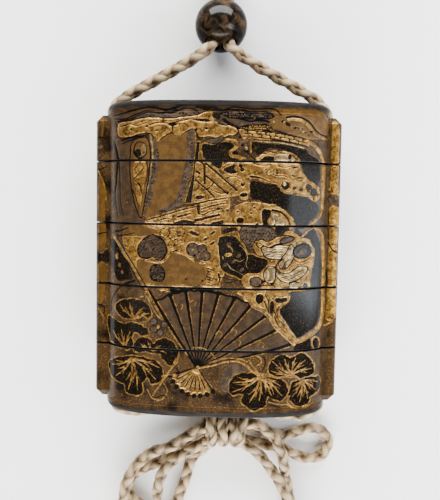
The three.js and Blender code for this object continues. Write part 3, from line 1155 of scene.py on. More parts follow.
# The black pools and the gold banks round them.
POOLS = (
    Fill(BLACK, [
        (-3.4, 28.9), (-1, 28.8), (1, 29.4), (3.6, 29.3), (4.2, 28.4), (3.2, 27.4), (3.6, 26.4), (6, 25.7),
        (4, 25.1), (1.6, 25), (1.2, 23.8), (0.6, 22.9), (-1, 24), (-2.4, 25), (-3.4, 26),
    ], outline=0.34, rim=GOLD),
    Fill(GREY, [(-2.8, 29.8), (0, 30.4), (1.4, 31), (1.2, 29.8), (-1, 29.2)], outline=0.2),
    Stroke(GOLD, [
        (2.2, 30), (4.4, 29.8), (5.1, 28.7), (4.2, 27.7), (3.2, 27.3), (3.3, 26.3), (5, 25.8), (7, 25.7),
    ], 0.6, 0.45),
    Spots(BLACK, [(4.5, 26.9)], 1.7, 0.9, 5),
    Spots(GREY, [(6.8, 28.4), (6.2, 29.8), (7.2, 30)], 1.2, 0.8, 30),
    Spots(BLACK, [(6.3, 28.8), (7.4, 27.2), (5.6, 30.8)], 0.8, 0.6),
    Spots(PALE, [(7.2, 28.1)], 0.8),
    Stroke(BLACK, [(6.6, 27.4), (8, 26.6), (9.4, 25.4)], 0.3, 0.4),
    Fill(BLACK, [
        (8.6, 20), (11, 19.8), (13, 19.4), (15, 19.4), (17, 17.2), (22, 16.6), (24.6, 15.4), (25.6, 14.4),
        (25.6, 12.4), (24.7, 11.2), (23.4, 10.2), (22.9, 8.9), (19.4, 8.9), (18.8, 11), (17, 13), (14.5, 14),
        (12, 14.6), (10.6, 15.6), (9, 15.6), (8.4, 17.4),
    ]),
    Fill(GOLD, [
        (1.2, 23.2), (2.2, 24.3), (5, 24.9), (9, 24.8), (13, 24.8), (17, 24.8), (20, 24.6), (21, 23.2),
        (22, 21.8), (23.6, 20.5), (25.4, 19.3), (26, 17.6), (25.6, 15.8), (24.6, 15.3), (22.4, 16.5),
        (19, 17), (16.8, 17.3), (15.6, 18.4), (14.8, 19.5), (12.8, 19.8), (10.4, 20.4), (8.4, 20.6),
        (8.1, 19), (8.2, 17), (7.6, 15.6), (5.8, 15.6), (5.2, 18), (4, 19.8), (2, 21.2),
    ], wobble=0.2),
    Fill(BLACK, [(1.7, 22.8), (3.2, 23.6), (5, 23.9), (4.2, 23.1), (5, 22.4), (4.6, 21.9), (2.8, 21.9)]),
    Spots(BLACK, [(6.3, 22.9), (5.9, 23.8), (6.5, 19.3)], 1.0, 1.0),
    Spots(BLACK, [(6.8, 16.7)], 2.1, 1.1, 8),
    Spots(PALE, [(6.6, 19.6), (7, 17.2)], 0.4),
    *(Stroke(LINE, line, width, 0.16) for line, width in (
        ([(9, 24.4), (11, 24), (13, 24.1)], 0.25),
        ([(11.8, 22.8), (12.6, 23.2), (13.3, 22.6), (12.8, 22)], 0.22),
        ([(8.4, 21.2), (10.4, 21), (12, 20.5), (13.2, 20)], 0.5),
        ([(13.8, 22), (15, 21.5), (16.4, 21.6), (17.8, 21.2)], 0.24),
        ([(15, 24), (16.8, 23.6), (18.6, 24)], 0.24),
        ([(2.6, 20.9), (4.4, 21.2), (6, 20.6)], 0.2),
    )),
    Spots(BLACK, [(18.9, 21.6), (20.4, 21.1), (19.2, 23.6)], 1.0, 0.5, -12),
    Spots(BLACK, [(17, 19.2)], 2.1),
    # The pale spot on the black spot is a painted highlight
    Spots(PALE, [(16.8, 19.6)], 0.9, 1.0),
    Spots(BLACK, [(19.3, 18.6), (21, 18.3)], 1.05, 0.9),
    Spots(BLACK, [(23, 18.9)], 1.8, 1.6),
    Spots(BLACK, [(24.4, 17.7)], 1.9, 2.1),
    Stroke(PALE, [(15.8, 17.9), (18.6, 17.5), (21.6, 17.2), (24, 16.2)], 0.26),
    Fill(GOLD, [
        (2.6, 8.9), (3.6, 12.2), (5.4, 14.4), (8.4, 15), (12, 14.8), (15, 14.2), (17.4, 12.8), (19.1, 10.8),
        (19.7, 8.9),
    ], wobble=0.22),
    Stroke(BLACK, [(14, 13), (16, 12.6), (17.6, 11.2), (18.6, 9)], 0.6, 0.4),
    Fill(BLACK, [(11.6, 13.2), (13.6, 13), (13.4, 11.6), (12.7, 10.2), (13.6, 9), (12, 9), (11.4, 11)]),
    Fill(PALE, [(13.9, 12.1), (15.8, 11.8), (17.3, 9.8), (17.2, 8.9), (14.2, 8.9), (13.4, 10.4)]),
    Stroke(LINE, [(14.4, 9), (14.8, 10.4), (14.4, 11.6)], 0.2),
    Spots(BLACK, [(6, 10.4)], 1.9, 1.6),
    Spots(BLACK, [(8.6, 12.2), (5.4, 12.6), (10.2, 9.6), (9.4, 13.6)], 0.6, 0.4),
    Stroke(GOLD, [(26.9, 25), (26.9, 20), (26.8, 15), (26.4, 12.2), (25.2, 10.7), (24.2, 9.8)], 1.1, 0.6),
    Stroke(GOLD, [(24.4, 10.2), (23.7, 9.6), (23.6, 8.9)], 0.4),
)

# The lattice of gold beams and the long rail.
LATTICE = (
    Fill(GOLD, [
        (-5.1, 25), (-2.6, 24.8), (1.2, 21.8), (4.5, 18.6), (5.8, 16.8), (3, 16), (-0.5, 15.2), (-5.9, 14.5),
    ], soft=False),
    *(Stroke(BLACK, line, width, end, wobble=0.02) for line, width, end in (
        ([(-4.7, 24.9), (-3.6, 24.4), (-3, 23.4)], 0.35, 0.45),
        ([(-3, 24), (-2.9, 19.4)], 0.55, 0.55),
        ([(-2.7, 24.3), (1, 21.2), (5, 17.8)], 0.45, 0.4),
        ([(-2.5, 21.2), (0, 19.2), (2.9, 16.8)], 0.5, 0.4),
        ([(-5.2, 20.2), (-2.5, 18), (-0.4, 16)], 0.4, 0.4),
        ([(-0.6, 19.7), (-1.6, 18.4), (-2.6, 17.9)], 0.3, 0.3),
        ([(-1.4, 18), (1.2, 17), (3.2, 17.3)], 0.26, 0.26),
    )),
    *(Stroke(PALE, line, 0.24, 0.2, wobble=0.02) for line in (
        [(-2.2, 24.4), (1.6, 21.4), (5, 18.6)], [(-2.4, 22.9), (-2.3, 21.6)],
        [(-2, 21.6), (0.6, 19.6), (3.4, 17.4)], [(-2.5, 19.4), (-0.4, 17.5)],
        [(-5.1, 24.4), (-5.5, 19), (-6, 15)],
    )),
    Spots(BLACK, [(-4.1, 15.9)], 2.3, 1.0, 8),
    Spots(BLACK, [(-4.5, 22)], 1.5, 0.6, -28),
    Spots(BLACK, [(-4.5, 20.9)], 0.6),
    Fill(GOLD, [
        (-18, 9.9), (-14, 11.5), (-8, 13.3), (-5, 14.3), (0, 15.9), (3.2, 16.5), (3.4, 15.4), (3.2, 12),
        (2.4, 8.9), (-17.6, 8.9),
    ], wobble=0.25),
    *(Stroke(BLACK, line, width, width * 0.8, wobble=0.08) for line, width in (
        ([(-17.4, 10), (-12.6, 11.4), (-8, 12.9), (-4.6, 13.7)], 0.3),
        ([(-6.2, 13.9), (-2, 15), (2.8, 15.9)], 0.4),
        ([(-4.4, 13.7), (-4.3, 12.2)], 0.8),
        ([(-9.4, 11), (-6.4, 11.9)], 0.5),
        ([(-3.6, 13), (-0.4, 14), (2.6, 14.6)], 0.35),
        ([(-4.4, 11.9), (-3.2, 11.6), (-1, 12.6), (1.6, 13.2)], 0.3),
        ([(-5, 10.3), (-2.6, 10.8), (0.8, 11.7)], 0.7),
        ([(-10, 9.3), (-8, 9.9), (-5.6, 9.6)], 0.9),
        ([(-14.4, 10), (-11.6, 10.6), (-10.4, 9.8)], 0.3),
        ([(-0.6, 9.4), (1.6, 10)], 1.0),
    )),
    Spots(BLACK, [(-3.2, 9.3), (2.8, 12.8), (0.6, 13.2)], 0.9, 0.6),
    Stroke(PALE, [(-17, 10.5), (-12, 12), (-8, 13.3)], 0.2),
)

# The bank of blossoms on the left, behind the fan.
BLOSSOM_BANK = (
    Fill(GOLD, [
        (-22.5, 8.6), (-12, 8.6), (-6.6, 8.6), (-1, 8.7), (0.8, 8.6), (0.8, -6.5), (-17, -6.5), (-19, -4),
        (-20.6, -1.4), (-22.6, 1.6), (-24, 5),
    ], wobble=0.3),
    Fill(MATTE, [
        (-19.6, 0), (-16, -0.6), (-12.6, -0.4), (-11, 1.8), (-8, 1.6), (-5, -0.4), (-2.8, -1), (-2.4, -3.4),
        (-3.4, -5.6), (-8, -5.9), (-15, -6.1), (-18, -5), (-19.6, -2.6),
    ]),
    Fill(MATTE, [(-23.6, 8.2), (-18, 8.6), (-14.6, 7.4), (-16, 6.4), (-20, 6), (-23.4, 6.2)]),
    Fill(BLACK, [
        (-27.6, 4.9), (-25, 4.6), (-24, 3.4), (-23, 2), (-22.6, 0.6), (-22, -1), (-21.5, -2.6), (-20.9, -4.8),
        (-22.5, -5.3), (-25, -5.6), (-26, -4), (-26.4, -1.6), (-25.6, 0.5), (-26.8, 2),
    ]),
    Spots(GOLD, [(-25.3, 0.7)], 0.8, 1.8),
    Spots(MATTE, [(-23.8, -3.3), (-24.6, -1.6)], 0.8, 1.0),
    Stroke(BLACK, [(-26, 6.9), (-24.4, 7.2), (-22.2, 8.1)], 0.5, 0.3),
    Stroke(LINE, [(-25.4, 5.8), (-23, 6.2), (-20.6, 6.9)], 0.3, 0.2),
    Fill(LINE, [
        (-19.8, 2), (-19.2, 4.3), (-17.6, 5.8), (-15.8, 6.5), (-13.8, 5.9), (-12.3, 4.4), (-12, 2.4),
        (-12.6, 0.6), (-14, -0.2), (-15.6, 0.7), (-17.4, 0.3), (-19.2, 0.7),
    ]),
    PebbledPatch((
        (-19.6, 2), (-19, 4.2), (-17.6, 5.6), (-15.8, 6.3), (-13.8, 5.7), (-12.5, 4.4), (-12.2, 2.4),
        (-12.8, 0.8), (-14, 0.1), (-15.6, 0.9), (-17.4, 0.6), (-19, 1),
    ), GREY, 0.46, 0.42),
    PebbledPatch((
        (-16, -1.6), (-14.6, -1), (-13, -2), (-12.6, -4), (-13.6, -5), (-15.6, -5), (-16.2, -3.4),
    ), GREY, 0.5, 0.4),
    *(Blossom(middle, radius, GOLD) for middle, radius in (
        ((-12.7, 7), 1.2), ((-10.5, 6.4), 1.15), ((-8.7, 7.4), 0.95), ((-8.5, 5.5), 0.9), ((-11, 4.2), 0.8),
        ((-9.4, 3.6), 0.7),
    )),
    *(Blossom(middle, radius, GREY) for middle, radius in (
        ((-5.6, 3), 1.5), ((-3.2, 3.2), 1.1), ((-2.4, 1.4), 1.2), ((-4.4, 0.9), 0.9),
    )),
    Spots(BLACK, [(-5.4, 7)], 2.5, 0.9, -22),
    Spots(BLACK, [(-2.5, 5.6), (-0.6, 7.2), (-0.7, 4.6)], 1.3, 0.6, 35),
    Spots(LINE, [(-7.2, -4.4), (-2.6, -0.8), (-3, -4.8), (-9.8, 2.6), (-10.4, 2.4)], 0.6, 0.45),
    *(Stroke(LINE, [(-1.9, -1.6 - 0.7 * row), (-0.7, -1.9 - 0.7 * row)], 0.3, 0.16) for row in range(6)),
    *(
        Stroke(work, [
            (-26 + side, 5.2), (-24.6 + side, 3.5), (-23 + side, 1), (-21 + side, -1.7), (-19.5 + side, -4.2),
            (-17.8 + side, -6.9), (-17.2 + side, -7.6),
        ], width)
        for side, work, width in ((0.0, GOLD, 1.0), (-0.62, LINE, 0.3), (0.6, LINE, 0.26))
    ),
    Stroke(PALE, [(-24.4, 3.4), (-21, -1.5), (-17.6, -6.7)], 0.2),
)

# The black rock and the dotted block above it.
ROCKS = (
    Fill(BLACK, [
        (0.9, 6), (3, 6.5), (5, 6.2), (6.2, 5), (7.3, 3.4), (7.9, 2), (9.5, 1.9), (10.6, 1.3), (12.6, 0.8),
        (13, 0), (11.8, -1.8), (10.6, -2.8), (9, -3.2), (7.8, -3.9), (6.4, -4.1), (5.4, -3.5), (3.2, -2.9),
        (1.6, -1.8), (1.1, 0.6),
    ], outline=0.3, rim=GOLD),
    Fill(BLACK, [(1.6, 7.4), (2.8, 8.4), (5, 8.6), (5.5, 7.9), (3.6, 7.4), (2.2, 6.9)]),
    Stroke(GOLD, [(0.8, 6.6), (3, 7), (5.2, 7.6), (6, 6.2), (6.8, 4.6), (8, 3.6)], 0.4, 0.3),
    Spots(GOLD, [(3.2, 1.8)], 2.0, 1.0, 6),
    Spots(GREY, [(4.6, 0.2), (5.8, 1.6), (3.4, 4.4), (6.6, -1.8), (2.6, -0.6)], 1.3, 0.8, 40),
    *(Stroke(PALE, line, width, 0.14) for line, width in (
        ([(3.3, 3.9), (4, 3.4), (4.3, 2.4)], 0.45),
        ([(6, 4.3), (7.4, 2.9), (8, 1), (7.6, -0.4), (8.2, -1.6)], 0.24),
        ([(3, -0.3), (4, -1.6), (6, -2.6), (7.4, -3.4)], 0.22),
        ([(5, 0.6), (6.2, 0.2), (7.2, 0.8)], 0.2),
        ([(1.8, 1.4), (2, 0.6)], 0.22),
    )),
    PebbledPatch((
        (6.3, 8.5), (10, 8.6), (13.6, 8.6), (14.6, 7.4), (14.4, 6), (13, 5.1), (10.6, 4.6), (9.4, 3.2),
        (8.2, 3.4), (7.4, 4.6), (6.4, 6),
    ), LINE, 0.78, 0.4, GREY),
    Fill(BLACK, [(14.7, 8.7), (18.1, 8.7), (18.3, 7.4), (17, 6.5), (15.4, 6.7)]),
    *(Stroke(LINE, line, width, 0.16) for line, width in (
        ([(1, -3.6), (4, -4.4), (6.4, -4.6), (7.4, -6)], 0.22),
        ([(2.4, -5), (3.4, -5.2), (4.4, -4.8)], 0.3),
        ([(0.9, -3), (1.2, -4.6), (0.6, -5.8)], 0.4),
        ([(6.4, -4.4), (6.8, -5.6), (8.6, -6.2)], 0.25),
    )),
)

# The silvered swirls on the right and the long black water behind them.
SWIRLS = (
    Fill(BLACK, [
        (20, 8.7), (22.2, 7), (24.2, 8.6), (25.6, 7), (26.5, 4), (26.8, 0), (26.8, -5), (26.8, -10),
        (26.6, -14), (25.8, -16.2), (23.6, -17.8), (21.6, -19), (20.2, -19), (18.6, -16.4), (16.6, -12.6),
        (17, -8), (18, -5), (20, 2),
    ]),
    Fill(GOLD, [
        (8.2, -2.8), (11, -2.6), (13.4, 0.2), (13.4, 1.2), (10.6, 2), (9.4, 5), (12, 5.4), (15, 5.8),
        (18.2, 8), (19.6, 7.6), (21.4, 6.6), (23.6, 5.6), (24.8, 3), (24.9, 0), (24.2, -2.6), (24, -5),
        (24.1, -6.5), (8, -6.5), (6.6, -4.4),
    ], wobble=0.2),
    *(Fill(work, form, outline=0.26) for form, work in (
        ([
            (11.4, 3.7), (12, 2.1), (13.2, 1.2), (15, 1), (17, 1.1), (18.3, 2.3), (19.2, 3.8), (17.2, 4.3),
            (15, 4.2), (13.8, 3.5), (12.6, 4),
        ], PALE),
        ([
            (9.6, 5.1), (11, 4.9), (12.2, 4.3), (13.4, 3.9), (14.8, 4.6), (16.8, 5), (19.6, 6.2), (17.8, 6.8),
            (15, 6.2), (13, 5.2), (11.2, 5.6),
        ], GOLD),
        ([(15.9, 5.2), (17.6, 5), (19.6, 6), (18.4, 6.4), (16.6, 6)], GREY),
        ([
            (17.5, 2.2), (18.8, 4.4), (19.7, 3.2), (19.2, 0.8), (18, -1.2), (16.6, -1.5), (15.9, -0.4),
            (16.5, 1),
        ], PALE),
        ([
            (14.7, -1.2), (16.4, -2.6), (18.6, -2.7), (21, -1.1), (22.9, -1.1), (22.7, -2.6), (21, -3.9),
            (18.6, -4.8), (16.6, -4.5), (15.3, -3),
        ], PALE),
        ([
            (12.4, -1.9), (13.4, -0.9), (14.7, -1.2), (14.9, -3), (14.5, -4.7), (13, -4.9), (12.2, -3.6),
        ], PALE),
        ([(18.6, -5.4), (20.6, -5), (22, -5.6), (20.4, -6.4), (18.8, -6.2)], PALE),
        ([(9, -4.2), (10.8, -3.8), (11.6, -4.8), (10.6, -5.9), (9.2, -5.6)], GREY),
    )),
    Spots(LINE, [(21.7, 2.9)], 5.0, 3.9, 12),
    Spots(BLACK, [(21.8, 2.9)], 4.3, 3.2, 12),
    Spots(GREY, [(21.6, 2.6)], 2.6, 1.6, 20),
    Stroke(PALE, [
        (19.4, 4.8), (21, 5.7), (22.9, 5.3), (24.1, 4), (24.4, 2), (24.2, 0), (23.5, -2), (22.5, -4),
        (21.4, -5.2),
    ], 0.55, 0.4),
    *(Stroke(LINE, line, width, width * 0.7) for line, width in (
        ([(12.2, 3), (13.6, 2.8), (15, 3.4), (17.4, 3.2)], 0.2),
        ([(12.6, 2.2), (14.4, 1.9), (16.8, 2.2)], 0.18),
        ([(10, 4.6), (11, 3.6), (11.8, 3.9)], 0.28),
        ([(15.4, -2.2), (17.4, -3.4), (19.6, -3), (21.8, -1.9)], 0.22),
        ([(16.4, -3.6), (18.6, -4.1), (20.6, -3.2)], 0.18),
        ([(13.2, -1.6), (13.6, -3), (13.4, -4.4)], 0.18),
        ([(18.4, 0.8), (17.2, -0.4), (17, -1.2)], 0.26),
        ([(19.6, 1), (20.8, 0.2), (22.6, 0.4), (23.6, 1.2)], 0.26),
        ([(20.4, -0.4), (21.8, -0.5), (23, 0)], 0.2),
        ([(16.6, 0.8), (15.2, -0.6), (15.2, -2.4)], 0.4),
        ([(15.6, -5), (17, -5.8), (18.2, -6.4)], 0.4),
        ([(10.8, -6), (13, -5.6), (15, -5.8)], 0.35),
    )),
    Stroke(PALE, [(15.2, -4.8), (16.6, -5.6), (17.8, -6.3)], 0.35),
    Spots(BLACK, [(12, -4.8), (17.2, -1.3), (14.2, -5.2)], 1.1, 0.7, 10),
    Spots(PALE, [(22.8, -5.9)], 2.0),
    Spots(BLACK, [(22.7, -5.9)], 1.3),
    Stroke(GOLD, [(21.6, 6.6), (22.8, 7.8), (24.4, 8.7)], 0.36),
    Stroke(GOLD, [
        (25, 9), (26.9, 7), (27.4, 4), (27.7, -2), (27.7, -8), (27.7, -13), (27.2, -16), (25.8, -17.6),
        (23.6, -19), (20.8, -20.2),
    ], 0.9, 1.2),
)

# The fan, its wave of gold and the round leaf's edge beside it.
FAN_BORDER = (
    Fill(GOLD, [
        (6, -6.9), (10, -7.1), (14, -7.2), (18.4, -7.6), (18.8, -9.2), (17.4, -10.8), (16.3, -11.8),
        (16.5, -13), (17.8, -14.8), (18.7, -16.4), (20.6, -19), (20.4, -20.6), (18, -19.6), (15.4, -18),
        (13, -14.6), (9.6, -12), (7, -8.8),
    ]),
    *(Fill(BLACK, form) for form in (
        [(10.6, -8), (12, -8), (12, -9.4), (11, -10.4), (10.2, -9.2)],
        [(15.2, -8.8), (16.6, -9), (18, -8.6), (18, -9.6), (16.4, -10.2), (15.2, -9.8)],
        [(14, -9.6), (14.6, -9.6), (14.8, -12), (14.2, -13), (13.8, -11)],
    )),
    *(Stroke(LINE, line, 0.3, 0.2) for line in (
        [(12.6, -8), (13.4, -10), (13.6, -12.4)], [(14.8, -12), (15.8, -14), (17.4, -15.6)],
        [(15, -13.6), (16, -15.8), (18, -17.6)], [(12.4, -9.6), (13, -11.4), (14, -12.8)],
        [(16.2, -11), (15.6, -12.4), (16, -13.6)],
    )),
    Fill(BLACK, [(20.2, -22.6), (20.5, -20.9), (23, -20.2), (24.4, -19.6), (24.8, -21), (24.4, -22.6)]),
    Spots(GOLD, [(25.9, -20.8)], 2.6, 3.6, 10),
    Spots(BLACK, [(26, -20.9)], 1.8, 2.8, 10),
    OpenFan(),
    Stroke(GOLD, [
        (5.8, -7.5), (8, -8.9), (9.8, -11), (12, -12), (13.8, -13.6), (15.2, -15.8), (16.8, -17.4),
        (18.8, -19.2), (20.2, -20.4),
    ], 0.7, 1.3),
    Stroke(PALE, [(7.8, -8.4), (9.8, -10.7), (12.2, -11.8), (14.2, -13.6)], 0.3),
    Stroke(LINE, [(-11, -7.4), (-8.4, -7.5), (-6.4, -6.9), (-4.4, -6.6), (-2, -6.8), (0, -7.7)], 0.8, 0.7),
    Stroke(GOLD, [(-17, -7), (-14.6, -6.2), (-12.8, -6.5), (-11.4, -7.6)], 0.35),
    Stroke(LINE, [(-20.4, -5.3), (-23.2, -6.4), (-25.3, -8.2), (-26.9, -11), (-27, -14)], 0.45, 0.3),
    Stroke(GOLD, [(-17, -7.8), (-14, -13), (-10.4, -18.4), (-6.6, -23.6)], 0.5),
    Stroke(LINE, [(-16.4, -7.8), (-13.4, -13), (-9.9, -18.4), (-5.8, -24)], 0.55),
    Stroke(PALE, [(-18.8, -9.4), (-17.4, -9), (-16.2, -11), (-14.4, -13.8), (-13, -15)], 0.35),
)

# The leaves, stems and small blossoms along the bottom.
LEAVES = (
    Leaf((-20.4, -14.9), (
        (-25.6, -12.6), (-24.6, -11.1), (-22.8, -10.3), (-20.4, -9.8), (-18.2, -10.4), (-16.6, -11.8),
        (-15.7, -13.7), (-16.6, -14.5), (-18.6, -14.2), (-20.3, -15.2), (-22.6, -15), (-24.8, -14.2),
    ), (
        (-24, -12.2), (-21.6, -11.4), (-18, -12.2), (-16.8, -13.6),
    )),
    Leaf((-22.6, -22.6), (
        (-27.8, -15.4), (-25.6, -15.8), (-23, -16.6), (-20.6, -16.1), (-18.6, -16.3), (-16.9, -17.5),
        (-16.5, -18.6), (-18.4, -19.1), (-20.3, -18.6), (-21, -20), (-20.6, -22.2), (-23, -23.2),
        (-25.6, -22.4), (-27.6, -20.6),
    ), ((-26, -19.2), (-23.8, -18.6), (-21.6, -18.8))),
    Leaf((-15.6, -22.8), (
        (-20.8, -22.9), (-19.8, -20.6), (-18, -19.5), (-16.4, -19.9), (-15.4, -21.2), (-13.8, -19.9),
        (-11.6, -19.8), (-9.8, -21), (-9, -23.4), (-9.5, -25.6), (-11, -26.2), (-12.8, -25.2), (-13.6, -23.8),
        (-17, -23.4),
    ), (
        (-18.6, -21.4), (-16.6, -20.8), (-13.6, -21.6), (-11, -22.8),
    )),
    Leaf((-21, -25.3), (
        (-27.8, -27.6), (-25.6, -25.8), (-22.4, -24.9), (-20.4, -24.6), (-17.6, -24.8), (-15, -25.1),
        (-13.1, -27), (-12.7, -29.4), (-14.2, -31.3), (-16, -31.1), (-16.7, -29.8), (-18, -31.5),
        (-18.2, -33.7), (-20, -34.8), (-22.4, -34), (-22.8, -32.4), (-24.9, -31.7), (-27, -30.6),
    ), (
        (-26.2, -27.6), (-25, -30), (-21.8, -32.8), (-19.6, -32.6), (-15.2, -29.8), (-14.4, -27),
    ), 0.62),
    Leaf((11.7, -28.8), (
        (10.6, -28), (8, -27.9), (5.5, -28.6), (4.2, -30.2), (4, -32.5), (5.4, -33.5), (7.6, -33.3),
        (7.1, -35), (8.6, -36.6), (10.2, -37.5), (12, -37), (13.3, -35.6), (13.7, -34), (15.2, -34.7),
        (17.4, -34.9), (18.9, -33.4), (18.6, -31.4), (17.2, -29.8), (15, -29), (13, -28.3),
    ), (
        (5.6, -30.2), (5.4, -32.4), (9.4, -34.8), (11.6, -34.4), (14.4, -33.2), (16.9, -33.4), (16.4, -31),
    ), 0.62),
    Leaf((19.7, -28.4), (
        (14.4, -28.2), (13.9, -26.4), (14.6, -24.6), (16.2, -23.6), (18, -23.5), (19.4, -24.2), (20.8, -23.5),
        (22.8, -23.2), (24.5, -24.6), (25.6, -26.6), (25.4, -28.7), (24, -29.3), (21.6, -29.5), (19.8, -28.8),
        (17.6, -28.9),
    ), (
        (15.2, -25.2), (14.9, -27.4), (18, -24.8), (20.6, -24.6), (23, -25.2), (24.6, -27.4),
    )),
    Leaf((22.4, -30.2), (
        (20.1, -30.4), (19.3, -32), (19.1, -34), (20.2, -36), (21.8, -36.9), (24, -36.2), (25.2, -34.6),
        (26.8, -33.8), (27.4, -31.6), (27, -29.8), (25, -29.6), (22.8, -29.7),
    ), (
        (20.2, -33.8), (22, -35.4), (24, -34.6), (25.8, -32.8), (26.4, -31), (20.4, -31.4),
    )),
    Fill(GREY, [
        (2, -29), (3.2, -26.6), (5.4, -25.6), (7.6, -26.3), (8.4, -27.4), (5.8, -28), (4, -29.8),
        (3.6, -32.6), (2.4, -32.6), (1.7, -31),
    ]),
    *(Spots(work, [middle], width) for middle in (
        (-15.3, -15.4), (-15.3, -17.4), (-13.6, -18.2), (-12.6, -16),
    ) for work, width in ((LINE, 1.9), (GREY, 1.5))),
    Spots(GOLD, [(-14.2, -16.7)], 0.8),
    *(Stroke(GOLD, line, width, end) for line, width, end in (
        ([(-4, -26.9), (0, -26), (3, -25.1), (6, -24.9), (8, -25.8), (9.8, -27.4), (11.6, -28.6)], 0.4, 0.5),
        ([(-1, -25.4), (3, -24.2), (6.6, -24.3), (8.4, -25)], 0.35, 0.3),
        ([(8.8, -24.6), (10.2, -26.6), (11.6, -28.6)], 0.3, 0.4),
        ([(10.6, -23.4), (11.8, -24.2), (12, -25.2), (10.8, -26), (10.6, -27.2)], 0.35, 0.3),
        ([(11.8, -28.4), (14, -28.7), (17, -29), (19.7, -28.5), (21.4, -29.4), (22.4, -30.2)], 0.35, 0.4),
        ([(-9.4, -24.6), (-10.6, -27), (-12.2, -29.6), (-13.8, -32), (-15.4, -34.4)], 0.45, 0.35),
        ([(-13, -29.4), (-11.2, -28.7), (-9, -29.1), (-6.8, -28)], 0.4, 0.3),
        ([(-12.6, -31), (-11.6, -33), (-12.6, -35), (-14.4, -35.8)], 0.3, 0.25),
        ([(-16.8, -33), (-15.4, -35.2), (-13.4, -35.4)], 0.3, 0.25),
        ([(14, -35.4), (16.4, -36), (18.8, -36.2), (20, -37)], 0.25, 0.3),
        ([(19.4, -34), (18.8, -35.4), (20.4, -37), (23, -37.3), (25.6, -36.4)], 0.3, 0.3),
        ([(-19.4, -16), (-17, -15.4), (-15.8, -14.4)], 0.3, 0.3),
    )),
    *(Stroke(LINE, line, 0.35, 0.2) for line in (
        [(-14.6, -35), (-12.8, -34.2), (-11.6, -34.8)],
        [(-9.6, -26.8), (-8.6, -28.2), (-9.2, -29.4)],
        [(12.6, -23.6), (13, -25.6), (12.2, -27.4)],
        [(14.6, -36.2), (17, -36.8)],
    )),
)

# The patches of gold and black down both cord runners.
RUNNERS = (
    Fill(MATTE, [(-30.6, 21.6), (-29.3, 19.4), (-29.1, 12), (-29.1, 3), (-30.7, 1.8), (-31, 10)]),
    Fill(BLACK, [(-31.9, 1.4), (-30, 1), (-28.2, 2), (-28.2, -1.4), (-30, -1), (-31.9, -1.6)]),
    Fill(MATTE, [(-30.8, -1.6), (-29.2, -1.4), (-29, -6), (-29.4, -11), (-30.6, -12.6), (-31, -6)]),
    Stroke(GOLD, [(-31, 22.4), (-29.8, 20), (-29.1, 18), (-28.8, 14)], 0.3),
    *(Stroke(LINE, line, 0.4, 0.25) for line in (
        [(-31.6, 30.6), (-30, 31), (-28.6, 30.4)],
        [(-31.6, 22.6), (-30, 22.9), (-28.8, 23.6)],
        [(-31, -12.4), (-29.6, -12.8), (-29, -14.2), (-30.6, -15)],
        [(-31.6, 5.8), (-29.8, 6.4), (-28.4, 6.6)],
    )),
    Spots(GREY, [(-30.3, 28.6), (-30.1, 26.6), (-29.6, 24.6)], 1.4, 1.0, 20),
    Stroke(MATTE, [(-30, 36), (-29.8, 33), (-30, 31.4)], 0.9, 0.6),
    Stroke(GOLD, [(-30.8, -13.6), (-30, -14.6), (-29.2, -16)], 0.4),
    # The right runner is laid in bright raised gold, not the left's matte gold: partly its real gold strip,
    # partly a painted highlight on the side that takes more light
    Fill(GOLD, [(29.3, 36), (30.7, 35), (31, 28), (31.1, 20), (31.1, 17.4), (29.4, 17), (29, 24), (29, 30)]),
    Fill(GREY, [(28.6, 16.6), (31.4, 17), (31.4, 15), (29.6, 14.2)], outline=0.2),
    Stroke(GOLD, [(28.6, 18.6), (30, 17.6), (31.4, 17.2)], 0.5),
    Fill(GOLD, [
        (29.2, 14.4), (31.2, 14), (31.3, 6), (31.3, 0), (31.3, -8), (31.2, -14.6), (29, -15.4), (28.9, -6),
        (29, 2), (29, 8),
    ]),
    Stroke(LINE, [(28.8, 5), (29.8, 3.2), (31.2, 2.2)], 0.35),
    Stroke(GOLD, [(28.4, -16.6), (29.6, -16), (30.8, -14.8), (31.5, -14.2)], 0.55),
)


@dataclass(frozen=True)
class FrontPicture:
    """The picture on the front: screens, pools and cloud banks above an open fan among leaves."""

    parts: tuple[Sequence[Mark], ...] = (
        CLOUD_BANKS, SCREEN, BRICK_WALL, POOLS, LATTICE, BLOSSOM_BANK, ROCKS, SWIRLS, FAN_BORDER, LEAVES,
        RUNNERS,
    )

    def draw(self, canvas: Canvas) -> None:
        """Lays the whole picture, from the top of the case to the bottom.

        Args:
            canvas: the canvas to lay it on.
        """
        for part in self.parts:
            for mark in part:
                mark.draw(canvas)


